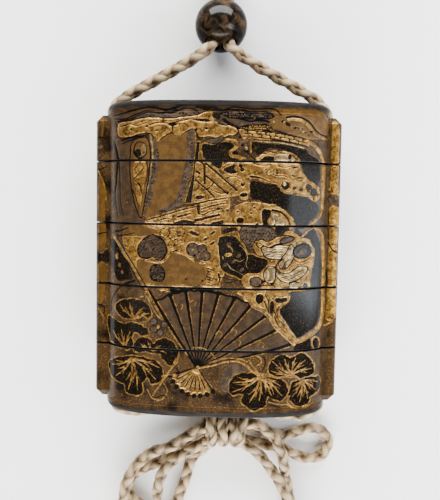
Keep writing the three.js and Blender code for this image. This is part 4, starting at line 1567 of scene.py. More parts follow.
@dataclass(frozen=True)
class BackPicture:
    """The back, plainer: cloud bars above a spray of the same leaves over brown ground."""

    bars: tuple[Point3, ...] = (
        (-10, 31, 12), (9, 27.5, 13), (-6, 14, 15), (14, 9, 9), (-16, -2, 9), (6, -34, 16),
    )
    leaves: tuple[Point3, ...] = ((-12, -16, 1), (4, -8, 0.85), (14, -21, 1.05), (-2, -25, 0.8))
    edge: tuple[Point, ...] = (
        (-1, 0.6), (-4, 1.4), (-6.6, 0), (-7, -2.6), (-5, -3.6), (-5.4, -6), (-2.8, -8), (0, -8.4), (2.8, -8),
        (5.4, -6), (5, -3.6), (7, -2.6), (6.6, 0), (4, 1.4), (1, 0.6),
    )
    tips: tuple[Point, ...] = ((-5.6, -1.4), (-3.6, -5.4), (0, -7), (3.6, -5.4), (5.6, -1.4))

    def draw(self, canvas: Canvas) -> None:
        """Lays the whole picture.

        Args:
            canvas: the canvas to lay it on.
        """
        for x, y, reach in self.bars:
            bar = [
                (x - reach, y), (x - 0.6 * reach, y + 1.2), (x, y + 0.8), (x + 0.5 * reach, y + 1.5),
                (x + reach, y + 0.2), (x + 0.4 * reach, y - 0.9), (x - 0.5 * reach, y - 1.1),
            ]
            Fill(GOLD, bar, outline=0.2).draw(canvas)
            Spots(BLACK, [(x - 0.3 * reach, y), (x + 0.5 * reach, y + 0.3)], 1.5, 0.5).draw(canvas)
        pool = [(-20, 23), (-8, 25), (6, 22), (18, 24), (22, 18), (8, 17), (-6, 18.5), (-18, 17)]
        Fill(BLACK, pool, outline=0.3, rim=GOLD).draw(canvas)
        for x, y, size in self.leaves:
            edge, tips = (
                tuple((x + size * a, y + size * b) for a, b in points) for points in (self.edge, self.tips)
            )
            Leaf((x, y), edge, tips).draw(canvas)
            Stroke(GOLD, [(x, y), (x + 1.5 * size, y + 3.5), (x + 0.4, y + 7)], 0.4, 0.25).draw(canvas)
        for middle in ((-19, -26), (17, -5), (-4, 4)):
            Blossom(middle, 1.6, GREY).draw(canvas)


# ---------------- the case


def oval_radius(angle: Array, half_width: float, half_depth: float, power: float) -> Array:
    """Distance from the middle to a squared oval's edge, in each direction."""
    across = np.abs(np.cos(angle) / half_width) ** power
    return (across + np.abs(np.sin(angle) / half_depth) ** power) ** (-1 / power)


def bar_radius(angle: Array, half_width: float, half_thick: float, corner: float) -> Array:
    """Distance from the middle to a bar's edge with rounded corners, in each direction.

    Args:
        angle: directions round the middle.
        half_width: half the bar's width.
        half_thick: half its thickness.
        corner: radius of its corners.

    Returns:
        A distance for each direction.
    """
    c, s = np.abs(np.cos(angle)) + 1e-9, np.abs(np.sin(angle)) + 1e-9
    sharp = np.minimum(half_width / c, half_thick / s)
    mid_x, mid_z = half_width - corner, half_thick - corner
    at_corner = (sharp * c > mid_x) & (sharp * s > mid_z)
    beside = c * mid_z - s * mid_x
    rounded = c * mid_x + s * mid_z + np.sqrt(np.maximum(corner**2 - beside**2, 0))
    return np.where(at_corner, rounded, sharp)


@dataclass(frozen=True)
class CaseForm:
    """Sizes that all sections of the case share."""

    height: float = 80.0
    half_width: float = 28.95
    half_depth: float = 12.0
    power: float = 2.6
    back_flat: float = 0.08
    end_round: float = 2.2
    runner_reach: float = 31.75
    runner_half_thick: float = 4.5
    runner_corner: float = 2.2
    runner_top: float = 36.8
    runner_bottom: float = -36.9
    runner_chamfer: float = 1.6
    crease: float = 0.7
    seam_round: float = 0.16
    # width of the painted shade laid along each seam
    painted_seam_shade: float = 0.24
    seam_gap: float = 0.12
    riser: Point = (24.9, 10.2)
    riser_height: float = 4.6
    riser_wall: float = 1.1
    recess_depth: float = 5.0
    floor_thick: float = 1.4
    end_thick: float = 2.0
    fit_gap: float = 0.3
    channel_radius: float = 2.1
    resting: float = 0.02
    fine: float = 0.17
    coarse: float = 0.5
    side_skin: float = 2.6
    end_skin: float = 2.3

    @property
    def middle(self) -> float:
        """Height of the case's middle plane over the surface."""
        return self.half_depth - self.back_flat

    def angles(self) -> Array:
        """Directions of the section's corners, close together on the front and wide on the back.

        Returns:
            The directions in order.
        """
        fine_step = self.fine
        angle = np.linspace(-math.pi / 2, 3 * math.pi / 2, 40001)
        radius = self.outside(angle, 0.0)
        x, z = radius * np.cos(angle), radius * np.sin(angle)
        step = np.where((z[1:] + z[:-1]) / 2 > -1.0, fine_step, self.coarse)
        count = np.concatenate([[0.0], np.cumsum(np.hypot(np.diff(x), np.diff(z)) / step)])
        total = int(round(count[-1]))
        return np.interp(np.linspace(0, count[-1], total + 1), count, angle)

    def outside(self, angle: Array, y: float, inset: float = 0.0, runner: bool = True) -> Array:
        """Distance from the middle line to the skin.

        Args:
            angle: directions round the case.
            y: height along the case.
            inset: how far the outline is drawn in.
            runner: whether the cord runners stand out here.

        Returns:
            A distance for each direction.
        """
        end = self.height / 2 - self.end_round - abs(y)
        shrink = self.end_round - math.sqrt(max(self.end_round**2 - min(end, 0.0) ** 2, 0.0)) + inset
        body = oval_radius(angle, self.half_width - shrink, self.half_depth - shrink, self.power)
        level = (self.middle - inset) / np.maximum(-np.sin(angle), 1e-6)
        body = np.where(np.sin(angle) < 0, np.minimum(body, level), body)
        if not runner:
            return body
        reach_up, reach_down = self.runner_top - y, y - self.runner_bottom
        cut = max(self.runner_chamfer - min(reach_up, reach_down), 0.0) + inset
        corner = max(self.runner_corner - cut, 0.3)
        bar = bar_radius(angle, self.runner_reach - cut, self.runner_half_thick - cut, corner)
        return (body + bar + np.sqrt((body - bar) ** 2 + self.crease**2)) / 2 - 0.02

    def ring(self, angle: Array, grow: float) -> Array:
        """Distance to the riser's outline grown by an amount, in each direction."""
        return oval_radius(angle, self.riser[0] + grow, self.riser[1] + grow, self.power)


@dataclass
class CaseSection:
    """One section of the case: the lid, a middle tier or the bottom."""

    form: CaseForm
    node: str
    low: float
    high: float
    has_riser: bool
    has_recess: bool

    def build(self, channels: Sequence[Array], finish: bpy.types.Material) -> bpy.types.Object:
        """Builds the section with its picture and puts it in the scene.

        Args:
            channels: middle lines of the two cord channels.
            finish: the lacquer.

        Returns:
            The section.
        """
        form = self.form
        angle = form.angles()
        heights, radii = self._rows(angle)
        columns = len(angle) - 1

        def place(u: Array, v: Array) -> Array:
            """Lays u round the case and v from its inside over its skin.

            Args:
                u: shares of the way round, from 0 to 1.
                v: shares of the way along, from 0 to 1.

            Returns:
                A point for each u and v, in millimetres.
            """
            column = np.rint(u * columns).astype(int)
            row = np.rint(v * (len(heights) - 1)).astype(int)
            radius = radii[row, column]
            return np.stack(
                [radius * np.cos(angle[column]), heights[row], form.middle + radius * np.sin(angle[column])],
                axis=1,
            )

        shell = join([wrapped_grid(self.node, columns, len(heights) - 1, place)], self.node + "_shell")
        piece = add_piece(shell, finish)
        cutters = [
            join([swept_tube("channel", line, (form.channel_radius, form.channel_radius), 20)], "channel_cut")
            for line in channels
        ]
        cut_away(piece, cutters)
        piece.name = self.node + "_shell"
        self._decorate(piece.data)
        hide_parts(self.node)
        return piece

    def _rows(self, angle: Array) -> tuple[Array, Array]:
        """Lays out the section's rows, from its inside over its skin to the hollow under it.

        Args:
            angle: directions of the corners.

        Returns:
            The height of each row, and its distance from the middle line in each direction.
        """
        form = self.form
        none = np.zeros_like(angle)
        rows: list[tuple[float, Array]] = []
        soft = form.seam_round
        if self.has_riser:
            base = self.low + (form.recess_depth + form.floor_thick if self.has_recess else form.end_thick)
            lip = self.high + form.riser_height
            room = -form.riser_wall
            rows += [(base, none), (base, form.ring(angle, room - 6)), (base, form.ring(angle, room - 0.8))]
            rows += [(base + 0.25, form.ring(angle, room - 0.25)), (base + 0.8, form.ring(angle, room))]
            rows += [(lip - 0.2, form.ring(angle, room)), (lip, form.ring(angle, room + 0.25))]
            wall = form.ring(angle, 0)
            rows += [(lip, form.ring(angle, -0.25)), (lip - 0.25, wall), (self.high, wall)]
            rows += [(self.high, form.outside(angle, self.high, inset)) for inset in (1.0, soft)]
            rows += [(self.high - 0.3 * soft, form.outside(angle, self.high, 0.3 * soft))]
        else:
            top = form.outside(angle, self.high, 0.0, False)
            rows += [(self.high, none)] + [(self.high, top * share) for share in (0.3, 0.6, 0.85)]
        rows += self._skin_rows(angle)
        if self.has_recess:
            recess = form.ring(angle, form.fit_gap)
            ceiling = self.low + form.recess_depth if self.has_riser else self.high - form.end_thick
            rows += [(self.low + 0.3 * soft, form.outside(angle, self.low, 0.3 * soft))]
            rows += [(self.low, form.outside(angle, self.low, inset)) for inset in (soft, 1.0)]
            rows += [(self.low, recess), (ceiling - 0.6, recess)]
            rows += [(ceiling, recess - 0.6), (ceiling, recess * 0.5)]
            rows += [(ceiling, none)]
        else:
            base = form.outside(angle, self.low, 0.0, False)
            rows += [(self.low, base * share) for share in (0.85, 0.6, 0.3)] + [(self.low, none)]
        return np.array([row[0] for row in rows]), np.stack([row[1] for row in rows])

    def _skin_rows(self, angle: Array) -> list[tuple[float, Array]]:
        """Lays out the rows of the outer skin, from its top edge to its bottom edge.

        Args:
            angle: directions round the middle.

        Returns:
            A height and the distances round it for each row.
        """
        form = self.form
        step = form.fine
        sharp_top = self.low + form.height / 2 > self.high or not self.has_riser
        start = self.high if sharp_top else self.high - form.seam_round
        stop = self.low + form.seam_round if self.has_recess else self.low
        marks = [start, *[y for y in (form.runner_top, form.runner_bottom) if stop < y < start], stop]
        rows = []
        for upper, lower in zip(marks, marks[1:]):
            count = max(2, int(round((upper - lower) / step)))
            runner = form.runner_bottom - 1e-6 <= lower and upper <= form.runner_top + 1e-6
            for y in np.linspace(upper, lower, count + 1):
                rows.append((float(y), form.outside(angle, float(y), 0.0, runner)))
        return rows

    def _decorate(self, mesh: bpy.types.Mesh) -> None:
        """Works out the picture on the skin, paints shade along its seams, raises it and keeps it as
        attributes.

        Args:
            mesh: the section's mesh.
        """
        form = self.form
        points = positions(mesh) / MM
        x, y, z = points[:, 0], points[:, 1], points[:, 2] - form.middle
        angle = np.arctan2(z, x)
        radius = np.hypot(x, z)
        reach = form.outside(angle, 0.0)
        at_end = np.abs(y) > form.height / 2 - form.end_skin
        inside = (radius < reach - form.side_skin - form.end_skin * at_end) * 1.0
        skin = inside < 0.5
        front = z > -0.5
        layers = {work: np.full(len(x), -FAR) for work in Work}
        for side, picture in ((front & skin, FrontPicture()), (~front & skin, BackPicture())):
            if not side.any():
                continue
            canvas = Canvas(x[side], y[side])
            picture.draw(canvas)
            for work in Work:
                layers[work][side] = canvas.layers[work]
        # Painted shade: dark line work along each seam between sections, standing in for the shade in the gap
        seam = np.full(len(x), FAR)
        if self.has_riser:
            seam = np.minimum(seam, np.abs(self.high - y))
        if self.has_recess:
            seam = np.minimum(seam, np.abs(y - self.low))
        dark = np.maximum(form.painted_seam_shade - seam, -FAR)
        for work, layer in layers.items():
            layers[work] = np.maximum(layer, dark) if work is Work.LINE else np.minimum(layer, -dark)
        height = np.zeros(len(x))
        for work, rise in RELIEF.items():
            share = np.clip(layers[work] / EDGE, 0, 1)
            height += rise * share * share * (3 - 2 * share)
        raised = points + normals(mesh) * height[:, None]
        raised[:, 2] = np.maximum(raised[:, 2], np.minimum(points[:, 2], form.resting))
        move_to(mesh, raised * MM)
        for work in Work:
            self._keep(mesh, work.value, layers[work])
        self._keep(mesh, "inside", inside)
        self._keep(mesh, "height", height)

    @staticmethod
    def _keep(mesh: bpy.types.Mesh, name: str, values: Array) -> None:
        """Keeps one number for each corner of the mesh as an attribute."""
        layer = mesh.attributes.new(name, "FLOAT", "POINT")
        layer.data.foreach_set("value", values.astype(np.float32))


@dataclass(frozen=True)
class Coat:
    """How one kind of lacquer work looks: two colours that cloud into each other, gloss and metal.

    Worn work lets the ground through in specks, and engraved work has thin dark curls cut into it.
    """

    work: Work
    light: str
    dark: str
    roughness: float
    metallic: float
    shine: float
    worn: float = 0.0
    engraved: float = 0.0
    dusty: float = 0.0


@dataclass(frozen=True)
class GoldAndBlackLacquer:
    """Black and brown lacquer with sprinkled and raised gold, rubbed by handling.

    The eye gets warm dull gold with bright lit edges, pools of deep blue-black gloss, and a brown
    powdery ground between them, darker along every rim.
    """

    ground: str = "2F2113"
    ground_dark: str = "0B0705"
    rim: str = "080504"
    streak: str = "1F1711"
    dust: str = "6E5226"
    inside: str = "120E0B"
    coats: tuple[Coat, ...] = (
        Coat(Work.BLACK, "0A0908", "070606", 0.155, 0.0, 0.14, dusty=0.25),
        Coat(Work.PAPER, "3A2A18", "2B1E12", 0.4, 0.3, 0.3, worn=0.35, dusty=0.12),
        Coat(Work.MATTE, "5A3F1A", "4A3315", 0.38, 0.5, 0.4, worn=0.25),
        Coat(Work.GREY, "453628", "2C2219", 0.38, 0.3, 0.3, worn=0.6, dusty=0.2),
        Coat(Work.GOLD, "9C7432", "73511F", 0.38, 0.7, 0.5, worn=0.6, engraved=0.7),
        Coat(Work.PALE, "A08654", "6A5432", 0.32, 0.6, 0.5, worn=0.5, engraved=0.6),
        Coat(Work.LINE, "040303", "030202", 0.34, 0.0, 0.1),
    )
    roughness: float = 0.27
    metallic: float = 0.1
    shine: float = 0.3
    grain: float = 0.32
    cloud: float = 1.6
    wear: float = 0.42
    patch: float = 6.0
    speck: float = 0.22
    swirl: float = 2.1
    streak_width: float = 0.5
    rim_start: float = 37.5
    rim_end: float = 38.5
    rim_waver: float = 1.6
    dull_start: float = 35.9
    dull_end: float = 37.0
    side_start: float = 25.4
    side_end: float = 27.4
    soft_edge: float = 0.04

    def build(self) -> bpy.types.Material:
        """Mixes the ground, the kinds of work and the wear over them.

        Returns:
            The material.
        """
        board = Board.named("gold and black lacquer")
        spot = board.add("TexCoord").outputs["Object"]
        drawn = board.add("Mapping", {"Vector": spot, "Scale": (0.07, 1.0, 1.0)}).outputs["Vector"]
        noise = {}
        for name, source, size, detail in (
            ("grain", spot, self.grain, 2.0),
            ("cloud", spot, self.cloud, 3.0),
            ("wear", spot, self.wear, 5.0),
            ("patch", spot, self.patch, 4.0),
            ("speck", spot, self.speck, 1.0),
            ("swirl", spot, self.swirl, 1.5),
            ("streak", drawn, self.streak_width, 3.0),
        ):
            inputs = {"Vector": source, "Scale": 1 / (size * MM), "Detail": detail}
            noise[name] = board.add("TexNoise", inputs).outputs["Fac"]
        axes = board.add("SeparateXYZ", {"Vector": spot})
        math_of = {}
        for name, operation, inputs in (
            ("swirl", "SUBTRACT", (noise["swirl"], 0.5)),
            ("across", "ABSOLUTE", (axes.outputs["X"],)),
            ("along", "ABSOLUTE", (axes.outputs["Y"],)),
        ):
            math_of[name] = board.add("Math", dict(enumerate(inputs)), operation=operation).outputs[0]
        off_line = board.add("Math", {0: math_of["swirl"]}, operation="ABSOLUTE").outputs[0]
        waver = {0: noise["cloud"], 1: self.rim_waver * MM, 2: math_of["along"]}
        ragged = board.add("Math", waver, operation="MULTIPLY_ADD").outputs[0]
        to_rim = self.rim_waver / 2
        steps = {
            "tint": (noise["cloud"], 0.4, 0.62),
            "worn": (noise["wear"], 0.53, 0.6),
            "patches": (noise["patch"], 0.3, 0.56),
            "dust": (noise["speck"], 0.61, 0.67),
            "engraved": (off_line, 0.03, 0.012),
            "streaks": (noise["streak"], 0.48, 0.66),
            "side": (math_of["across"], self.side_start * MM, self.side_end * MM),
            "dull": (math_of["along"], self.dull_start * MM, self.dull_end * MM),
            "rim": (ragged, (self.rim_start + to_rim) * MM, (self.rim_end + to_rim) * MM),
        }
        for coat in self.coats:
            layer = board.add("Attribute", attribute_name=coat.work.value, attribute_type="GEOMETRY")
            steps[coat.work.value] = (layer.outputs["Fac"], -self.soft_edge, self.soft_edge)
        share = {}
        for name, (value, low, high) in steps.items():
            inputs = {"Value": value, "From Min": low, "From Max": high}
            share[name] = board.add("MapRange", inputs, interpolation_type="SMOOTHSTEP").outputs["Result"]
        hollow = board.add("Attribute", attribute_name="inside", attribute_type="GEOMETRY").outputs["Fac"]
        powder = board.add("Math", {0: share["dust"], 1: share["patches"]}, operation="MULTIPLY").outputs[0]
        stacks = []
        for coat in self.coats:
            over = [(share["tint"], linear(coat.light))]
            for mark, strength, colour in (
                ("worn", coat.worn, self.ground_dark),
                ("engraved", coat.engraved, self.ground_dark),
                ("dust", coat.dusty, self.dust),
            ):
                if strength:
                    part = board.add("Math", {0: share[mark], 1: strength}, operation="MULTIPLY").outputs[0]
                    over.append((part, linear(colour)))
            stacks.append((coat.work, linear(coat.dark), over))
        work = [(share[coat.work.value], coat.work) for coat in self.coats]
        ground = [(share["patches"], linear(self.ground)), (powder, linear(self.dust))]
        close = [(share["rim"], "edge"), (hollow, linear(self.inside))]
        stacks.append(("edge", linear(self.rim), [(share["streaks"], linear(self.streak))]))
        stacks.append(("colour", linear(self.ground_dark), [*ground, *work, *close]))
        for name, base, ends in (
            ("roughness", self.roughness, [(share["rim"], 0.5)]),
            ("metallic", self.metallic, [(share["rim"], 0.0), (hollow, 0.0)]),
            ("shine", self.shine, [(share["dull"], 0.05), (share["side"], 0.04)]),
        ):
            coats = [(share[coat.work.value], getattr(coat, name)) for coat in self.coats]
            stacks.append((name, base, [*coats, *ends]))
        blend = {}
        for name, base, layers in stacks:
            plain = isinstance(base, float)
            keys, kind, result = ((0, 2, 3), "FLOAT", 0) if plain else ((0, 6, 7), "RGBA", 2)
            for part, value in layers:
                value = blend[value] if isinstance(value, (str, Work)) else value
                inputs = dict(zip(keys, (part, base, value)))
                base = board.add("Mix", inputs, data_type=kind).outputs[result]
            blend[name] = base
        bump = board.add("Bump", {"Height": noise["grain"], "Strength": 0.2, "Distance": 0.03 * MM})
        shader = board.add(
            "BsdfPrincipled",
            {
                "Base Color": blend["colour"],
                "Roughness": blend["roughness"],
                "Metallic": blend["metallic"],
                "Specular IOR Level": blend["shine"],
                "Normal": bump.outputs["Normal"],
            },
        )
        return board.finish(shader)


# ---------------- cords


BEAD_MIDDLE = (0.0, 61.9, 7.0)
BEAD_RADIUS = 7.0
BEAD_TILT = math.radians(28)
CORD_DIAMETER = 3.4


def main_route(side: int, bow_end: Sequence[Point3]) -> list[Point3]:
    """Lists the cord's route from the end knot through bead and channel to the bow.

    Args:
        side: -1 for the left run, 1 for the right.
        bow_end: its last points, under the case.

    Returns:
        The route's points.
    """

    def hole(x: float, along: float) -> Point3:
        """A point of the bead's hole, along its slope."""
        return x, BEAD_MIDDLE[1] - along * math.cos(BEAD_TILT), BEAD_RADIUS + along * math.sin(BEAD_TILT)

    middle = CaseForm().middle
    run = [
        (1.85, 71.4, 3.1),
        hole(1.85, -7.4),
        hole(1.85, 0.0),
        hole(1.85, 4.3),
        hole(2.5, 6.8),
        hole(4.3, 8.8),
        (8.4, 51.4, 11.2),
        (17.5, 46.2, 11.5),
        (22.2, 43.5, 11.8),
        (25.7, 41.2, middle),
        (27.6, 39.1, middle),
        (28.2, 36.4, middle),
        (28.2, 31.0, middle),
        (28.2, -31.0, middle),
        (28.2, -36.5, middle),
        (26.7, -40.4, middle),
        (23.0, -42.1, 11.4),
        (17.0, -42.3, 9.2),
    ]
    return [(side * x, y, z) for x, y, z in run] + list(bow_end)


LOOP_LEFT_OUTER = [
    (-2.5, -48.4, 5.7), (-5.8, -49.7, 5.7), (-9.2, -52, 5.7), (-13.1, -54.5, 5.6), (-17, -55.9, 5),
    (-20.3, -58.1, 4.7), (-23.2, -61.4, 5.6), (-25.1, -65.4, 5.9), (-25.8, -70, 5.6), (-26.5, -75.5, 2.9),
    (-25.9, -80.5, 1.9), (-22.5, -84.1, 1.9), (-18.3, -82.9, 3.2), (-16.5, -78.6, 5.6), (-16.3, -74, 5.3),
    (-16.3, -69, 4.5), (-15.7, -64.5, 5.3), (-13.9, -60.5, 5.8), (-10.6, -57.3, 5.7), (-6.6, -54.7, 5.7),
    (-2.9, -52.7, 5.7),
]
LOOP_LEFT_INNER = [
    (-3.1, -50.7, 1.9), (-6.8, -53, 1.8), (-11, -56.5, 1.8), (-15, -59.6, 1.8), (-19, -61.6, 1.8),
    (-22.6, -63.4, 1.8), (-24.9, -66.5, 1.8), (-24.6, -70, 1.8), (-21.9, -72.8, 1.8), (-18.6, -75.6, 1.8),
    (-14.9, -77.5, 1.8), (-11.6, -76, 1.8), (-10.7, -72.4, 1.8), (-9.9, -69, 1.8), (-8.4, -65, 1.8),
    (-7.6, -61.4, 1.8), (-6.1, -58.2, 1.8), (-3.2, -55.8, 1.8),
]
LOOP_RIGHT_SMALL = [
    (6.9, -49.1, 1.9), (11, -49.5, 1.8), (15.6, -50.6, 1.8), (19.6, -51.4, 1.8), (23.4, -50.2, 1.8),
    (27.3, -49, 1.8), (30.6, -49.9, 1.8), (32.3, -53, 1.8), (31.1, -56.3, 1.8), (27.7, -57.9, 1.8),
    (23.7, -57.3, 1.8), (20, -55.6, 1.8), (15.5, -54.5, 1.8), (11, -53.5, 1.8), (7, -53.1, 1.9),
]
LOOP_RIGHT_LARGE = [
    (7.1, -47.2, 5.8), (10.4, -46.9, 5.8), (13.8, -48, 5.8), (16.7, -50.7, 5.8), (18.5, -54.2, 5.9),
    (19.6, -58.6, 4.9), (20.3, -63.2, 2.1), (21.2, -67.6, 1.8), (21.8, -72, 1.8), (20.9, -77.2, 1.8),
    (20.6, -82.2, 1.8), (23.6, -86, 1.8), (27.6, -84.8, 1.8), (28.6, -80.4, 1.8), (25.9, -76.4, 3.3),
    (22.9, -73, 5.5), (21, -69.6, 5.6), (20, -66.9, 5.5), (18.6, -64.2, 5.2), (16, -60.4, 4.6),
    (13.5, -57, 5.2), (10.9, -54.4, 5.9), (7.6, -52.2, 5.8),
]
CORDS = {
    "cord_left": main_route(-1, [(-10.6, -43.3, 5.2), (-6.2, -44.6, 2.4), (-2.2, -44.9, 2.1)]),
    "cord_right": main_route(1, [(13.6, -42.8, 5.4), (10, -44, 2.4), (6.9, -44.5, 2.1)]),
    "loop_left_outer": LOOP_LEFT_OUTER,
    "loop_left_inner": LOOP_LEFT_INNER,
    "loop_right_small": LOOP_RIGHT_SMALL,
    "loop_right_large": LOOP_RIGHT_LARGE,
}


def keep_crest(mesh: bpy.types.Mesh, line: Array, radius: float) -> None:
    """Keeps how far each corner of a cord stands out from its middle line, from 0 to 1.

    Args:
        mesh: the cord's mesh, in metres.
        line: its middle line, in millimetres.
        radius: its outer radius.
    """
    points = positions(mesh) / MM
    fine = divide_evenly(line, 0.7)
    nearest = np.full(len(points), np.inf)
    for start in range(0, len(points), 20000):
        block = points[start : start + 20000, None, :] - fine[None, :, :]
        nearest[start : start + 20000] = np.sqrt((block**2).sum(axis=2)).min(axis=1)
    crest = np.clip((nearest / radius - 0.45) / 0.55, 0, 1)
    layer = mesh.attributes.new("crest", "FLOAT", "POINT")
    layer.data.foreach_set("value", crest.astype(np.float32))


@dataclass
class CordWork:
    """All runs of the cord, from the end knot through bead and channels to the bow, and the bow's loops."""

    braid: Braid = field(default_factory=Braid)

    def build(self, silk: bpy.types.Material) -> dict[str, bpy.types.Object]:
        """Braids every run of cord.

        Args:
            silk: the cord's finish.

        Returns:
            The runs, by their node's name.
        """
        runs = {}
        for node, points in CORDS.items():
            line = smooth_route(points, 0.4)
            mesh = self.braid.build(node + "_braid", line, None)
            keep_crest(mesh, line, CORD_DIAMETER / 2)
            piece = add_piece(mesh, silk)
            piece.name = node + "_braid"
            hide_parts(node)
            runs[node] = piece
            LOG.info("%s: %.0f mm of cord", node, line_length(line))
        return runs


@dataclass
class BowKnot:
    """Four turns of cord wound side by side round the middle of the bow."""

    left: float = -4.3
    right: float = 8.7
    middle: Point = (-49.2, 4.35)
    half_width: float = 5.4
    half_height: float = 4.1
    turns: int = 4
    slant: float = 0.16
    braid: Braid = Braid(spacing=0.34)

    def build(self, silk: bpy.types.Material) -> bpy.types.Object:
        """Winds the turns and puts the knot in the scene.

        Args:
            silk: the cord's finish.

        Returns:
            The knot.
        """
        radius = CORD_DIAMETER / 2
        pitch = (self.right - self.left - CORD_DIAMETER * 0.9) / (self.turns - 1)
        wide, high = self.half_width - radius, self.half_height - radius
        line = []
        for step in range(self.turns * 40 + 1):
            turn = step / 40
            angle = 2 * math.pi * turn - math.pi / 2
            x = self.left + radius * 0.95 + pitch * min(turn, self.turns - 1)
            y = wide * math.cos(angle)
            line.append((x + self.slant * y, self.middle[0] + y, self.middle[1] + high * math.sin(angle)))
        route = divide_evenly(np.array(line), 0.4)
        spacing = None
        mesh = self.braid.build("bow_turns", route, spacing)
        keep_crest(mesh, route, radius)
        tucks = [mesh]
        centre = ((self.left + self.right) / 2, self.middle[0], self.middle[1])
        for node, points in CORDS.items():
            for end in (points[-1],) if node.startswith("cord") else (points[0], points[-1]):
                inward = [
                    tuple(a + (b - a) * share for a, b in zip(end, centre)) for share in (-0.06, 0.25, 0.6)
                ]
                line = divide_evenly(np.array(inward), 0.4)
                tucks.append(self.braid.build("tuck", line, spacing))
                keep_crest(tucks[-1], line, radius)
        mesh = join(tucks, "bow_turns")
        piece = add_piece(mesh, silk)
        piece.name = "bow_turns"
        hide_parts("bow_knot")
        return piece


@dataclass
class EndKnot:
    """The knot that joins the two cord ends just above the bead."""

    middle: Point3 = (0.0, 75.6, 4.0)
    half: Point3 = (5.0, 3.8, 3.9)
    braid: Braid = field(default_factory=Braid)

    def build(self, silk: bpy.types.Material) -> bpy.types.Object:
        """Ties the knot and puts it in the scene.

        Args:
            silk: the cord's finish.

        Returns:
            The knot.
        """
        radius = CORD_DIAMETER / 2
        reach = [half - radius for half in self.half]
        line = []
        for step in range(161):
            t = 2 * math.pi * step / 160
            swing = 0.62 + 0.38 * math.cos(3 * t)
            line.append(
                (
                    self.middle[0] + reach[0] * swing * math.cos(2 * t),
                    self.middle[1] + reach[1] * swing * math.sin(2 * t),
                    self.middle[2] + reach[2] * math.sin(3 * t) * 0.95,
                )
            )
        route = divide_evenly(np.array(line), 0.4)
        mesh = self.braid.build("end_tie", route, None)
        keep_crest(mesh, route, radius)
        piece = add_piece(mesh, silk)
        piece.name = "end_tie"
        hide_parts("end_knot")
        return piece


@dataclass
class SlidingBead:
    """The bead that both cords pass through, which holds the sections shut."""

    radius: float = BEAD_RADIUS
    bore: float = 2.05

    def build(self, finish: bpy.types.Material) -> bpy.types.Object:
        """Turns the bead, bores it and puts it in the scene.

        Args:
            finish: the finish.

        Returns:
            The bead.
        """

        def place(u: Array, v: Array) -> Array:
            """Lays u round the bead's hole and v from end to end.

            Args:
                u: shares of the way round, from 0 to 1.
                v: shares of the way along, from 0 to 1.

            Returns:
                A point for each u and v, in millimetres.
            """
            turn, along = 2 * math.pi * u, math.pi * v
            return np.stack(
                [
                    BEAD_MIDDLE[0] + self.radius * np.sin(along) * np.cos(turn),
                    BEAD_MIDDLE[1] - self.radius * np.cos(along),
                    BEAD_MIDDLE[2] + self.radius * np.sin(along) * np.sin(turn),
                ],
                axis=1,
            )

        mesh = join([wrapped_grid("bead", 96, 48, place)], "bead_ball")
        piece = add_piece(mesh, finish)
        cutters = []
        for side in (-1, 1):
            route = [point for point in main_route(side, []) if point[1] > 50]
            line = smooth_route(route, 0.8)
            cutters.append(join([swept_tube("bore", line, (self.bore, self.bore), 32)], "bore_cut"))
        cut_away(piece, cutters)
        piece.name = "bead_ball"
        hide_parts("ojime_bead")
        return piece


# ---------------- studio


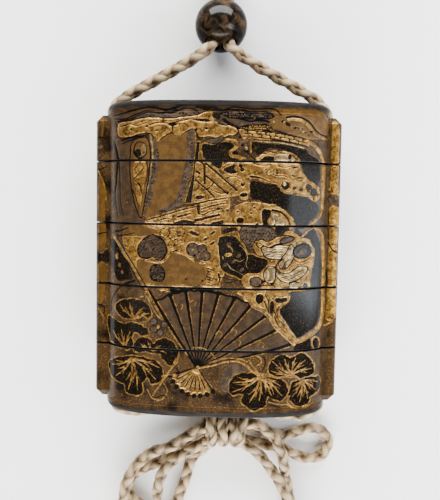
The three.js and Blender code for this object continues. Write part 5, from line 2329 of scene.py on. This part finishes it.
@dataclass(frozen=True)
class Studio:
    """A pale floor, soft light and the camera that looks down on the case."""

    camera_place: Point3 = (6.1, 14.3, 184.5)
    camera_turn: Point3 = (-4.03, 1.76, 1.05)
    lens: float = 53.19
    floor_size: float = 1600.0

    def build(self) -> None:
        """Puts floor, lights and camera in the scene."""
        self._camera()
        self._floor()
        self._lights()

    def _camera(self) -> None:
        """Places the camera."""
        data = bpy.data.cameras.new("camera")
        data.lens = self.lens
        data.sensor_width = 36.0
        data.sensor_fit = "HORIZONTAL"
        data.clip_start = 0.01
        camera = bpy.data.objects.new("camera", data)
        bpy.context.scene.collection.objects.link(camera)
        turn = Matrix.Identity(4)
        for degrees, axis in zip(self.camera_turn, "XYZ"):
            turn = turn @ Matrix.Rotation(math.radians(degrees), 4, axis)
        camera.matrix_world = Matrix.Translation(Vector(self.camera_place) * MM) @ turn
        bpy.context.scene.camera = camera

    def _floor(self) -> None:
        """Lays the floor."""

        def place(u: Array, v: Array) -> Array:
            """Lays u across the floor and v along it."""
            return np.stack([(u - 0.5) * self.floor_size, (v - 0.5) * self.floor_size, 0 * u], axis=1)

        mesh = wrapped_grid("floor", 8, 8, place)
        floor = bpy.data.objects.new("floor", mesh)
        bpy.context.scene.collection.objects.link(floor)
        mesh.materials.append(PaleFloor().build())

    def _lights(self) -> None:
        """Hangs the soft lights."""
        world = bpy.data.worlds.new("room")
        bpy.context.scene.world = world
        world.use_nodes = True
        world.node_tree.nodes["Background"].inputs["Color"].default_value = (1.0, 1.0, 1.0, 1.0)
        world.node_tree.nodes["Background"].inputs["Strength"].default_value = 0.06
        for name, place, size, power, tint in (
            ("left_window", (-140, -20, 300), (95, 330), 0.1, (1.0, 0.95, 0.88)),
            ("right_window", (265, -10, 150), (90, 330), 0.74, (0.8, 0.9, 1.0)),
            ("right_strip", (225, -40, 215), (14, 260), 0.13, (0.8, 0.9, 1.0)),
            ("right_second_strip", (262, -40, 162), (20, 260), 0.09, (0.8, 0.9, 1.0)),
            ("far_sky", (0, 620, 340), (1100, 420), 27.0, (1.0, 1.0, 1.0)),
            ("near_sky", (0, -620, 340), (1100, 420), 27.0, (1.0, 1.0, 1.0)),
        ):
            data = bpy.data.lights.new(name, "AREA")
            data.shape = "RECTANGLE"
            data.size, data.size_y = size[0] * MM, size[1] * MM
            data.energy = power
            data.color = tint
            lamp = bpy.data.objects.new(name, data)
            bpy.context.scene.collection.objects.link(lamp)
            aim = (Vector((0, 0, 12)) - Vector(place)).to_track_quat("-Z", "Y")
            lamp.matrix_world = Matrix.Translation(Vector(place) * MM) @ aim.to_matrix().to_4x4()


@dataclass
class InroCase:
    """The five sections of the case."""

    form: CaseForm = field(default_factory=CaseForm)
    lid_height: float = 15.1
    pitch: float = 15.8
    tiers: int = 3

    def build(self, finish: bpy.types.Material) -> list[bpy.types.Object]:
        """Builds every section from the lid down.

        Args:
            finish: the finish.

        Returns:
            The sections, from the lid down.
        """
        half = self.form.seam_gap / 2
        top = self.form.height / 2
        seams = [top - self.lid_height - step * self.pitch for step in range(self.tiers + 1)]
        sections = [CaseSection(self.form, "lid", seams[0] + half, top, False, True)]
        for number, (upper, lower) in enumerate(zip(seams, seams[1:]), start=1):
            sections.append(CaseSection(self.form, f"case_{number}", lower + half, upper - half, True, True))
        sections.append(CaseSection(self.form, f"case_{self.tiers + 1}", -top, seams[-1] - half, True, False))
        channels = []
        for node in ("cord_left", "cord_right"):
            beside = [point for point in CORDS[node] if abs(point[0]) > 15]
            channels.append(smooth_route(beside, 0.8))
        built = []
        for section in sections:
            built.append(section.build(channels, finish))
            LOG.info("%s: %d faces", section.node, len(built[-1].data.polygons))
        return built


def main() -> None:
    """Builds the part piece by piece."""
    logging.basicConfig(level=logging.INFO, format="%(name)s %(message)s")
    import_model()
    Studio().build()
    silk = SilkCord().build()
    cords = CordWork()
    runs = cords.build(silk)
    bow = BowKnot().build(silk)
    knot = EndKnot().build(silk)
    bead = SlidingBead().build(PolishedBead().build())
    LOG.info("cords, knots and bead are in place")
    InroCase().build(GoldAndBlackLacquer().build())


if __name__ == "__main__":
    main()
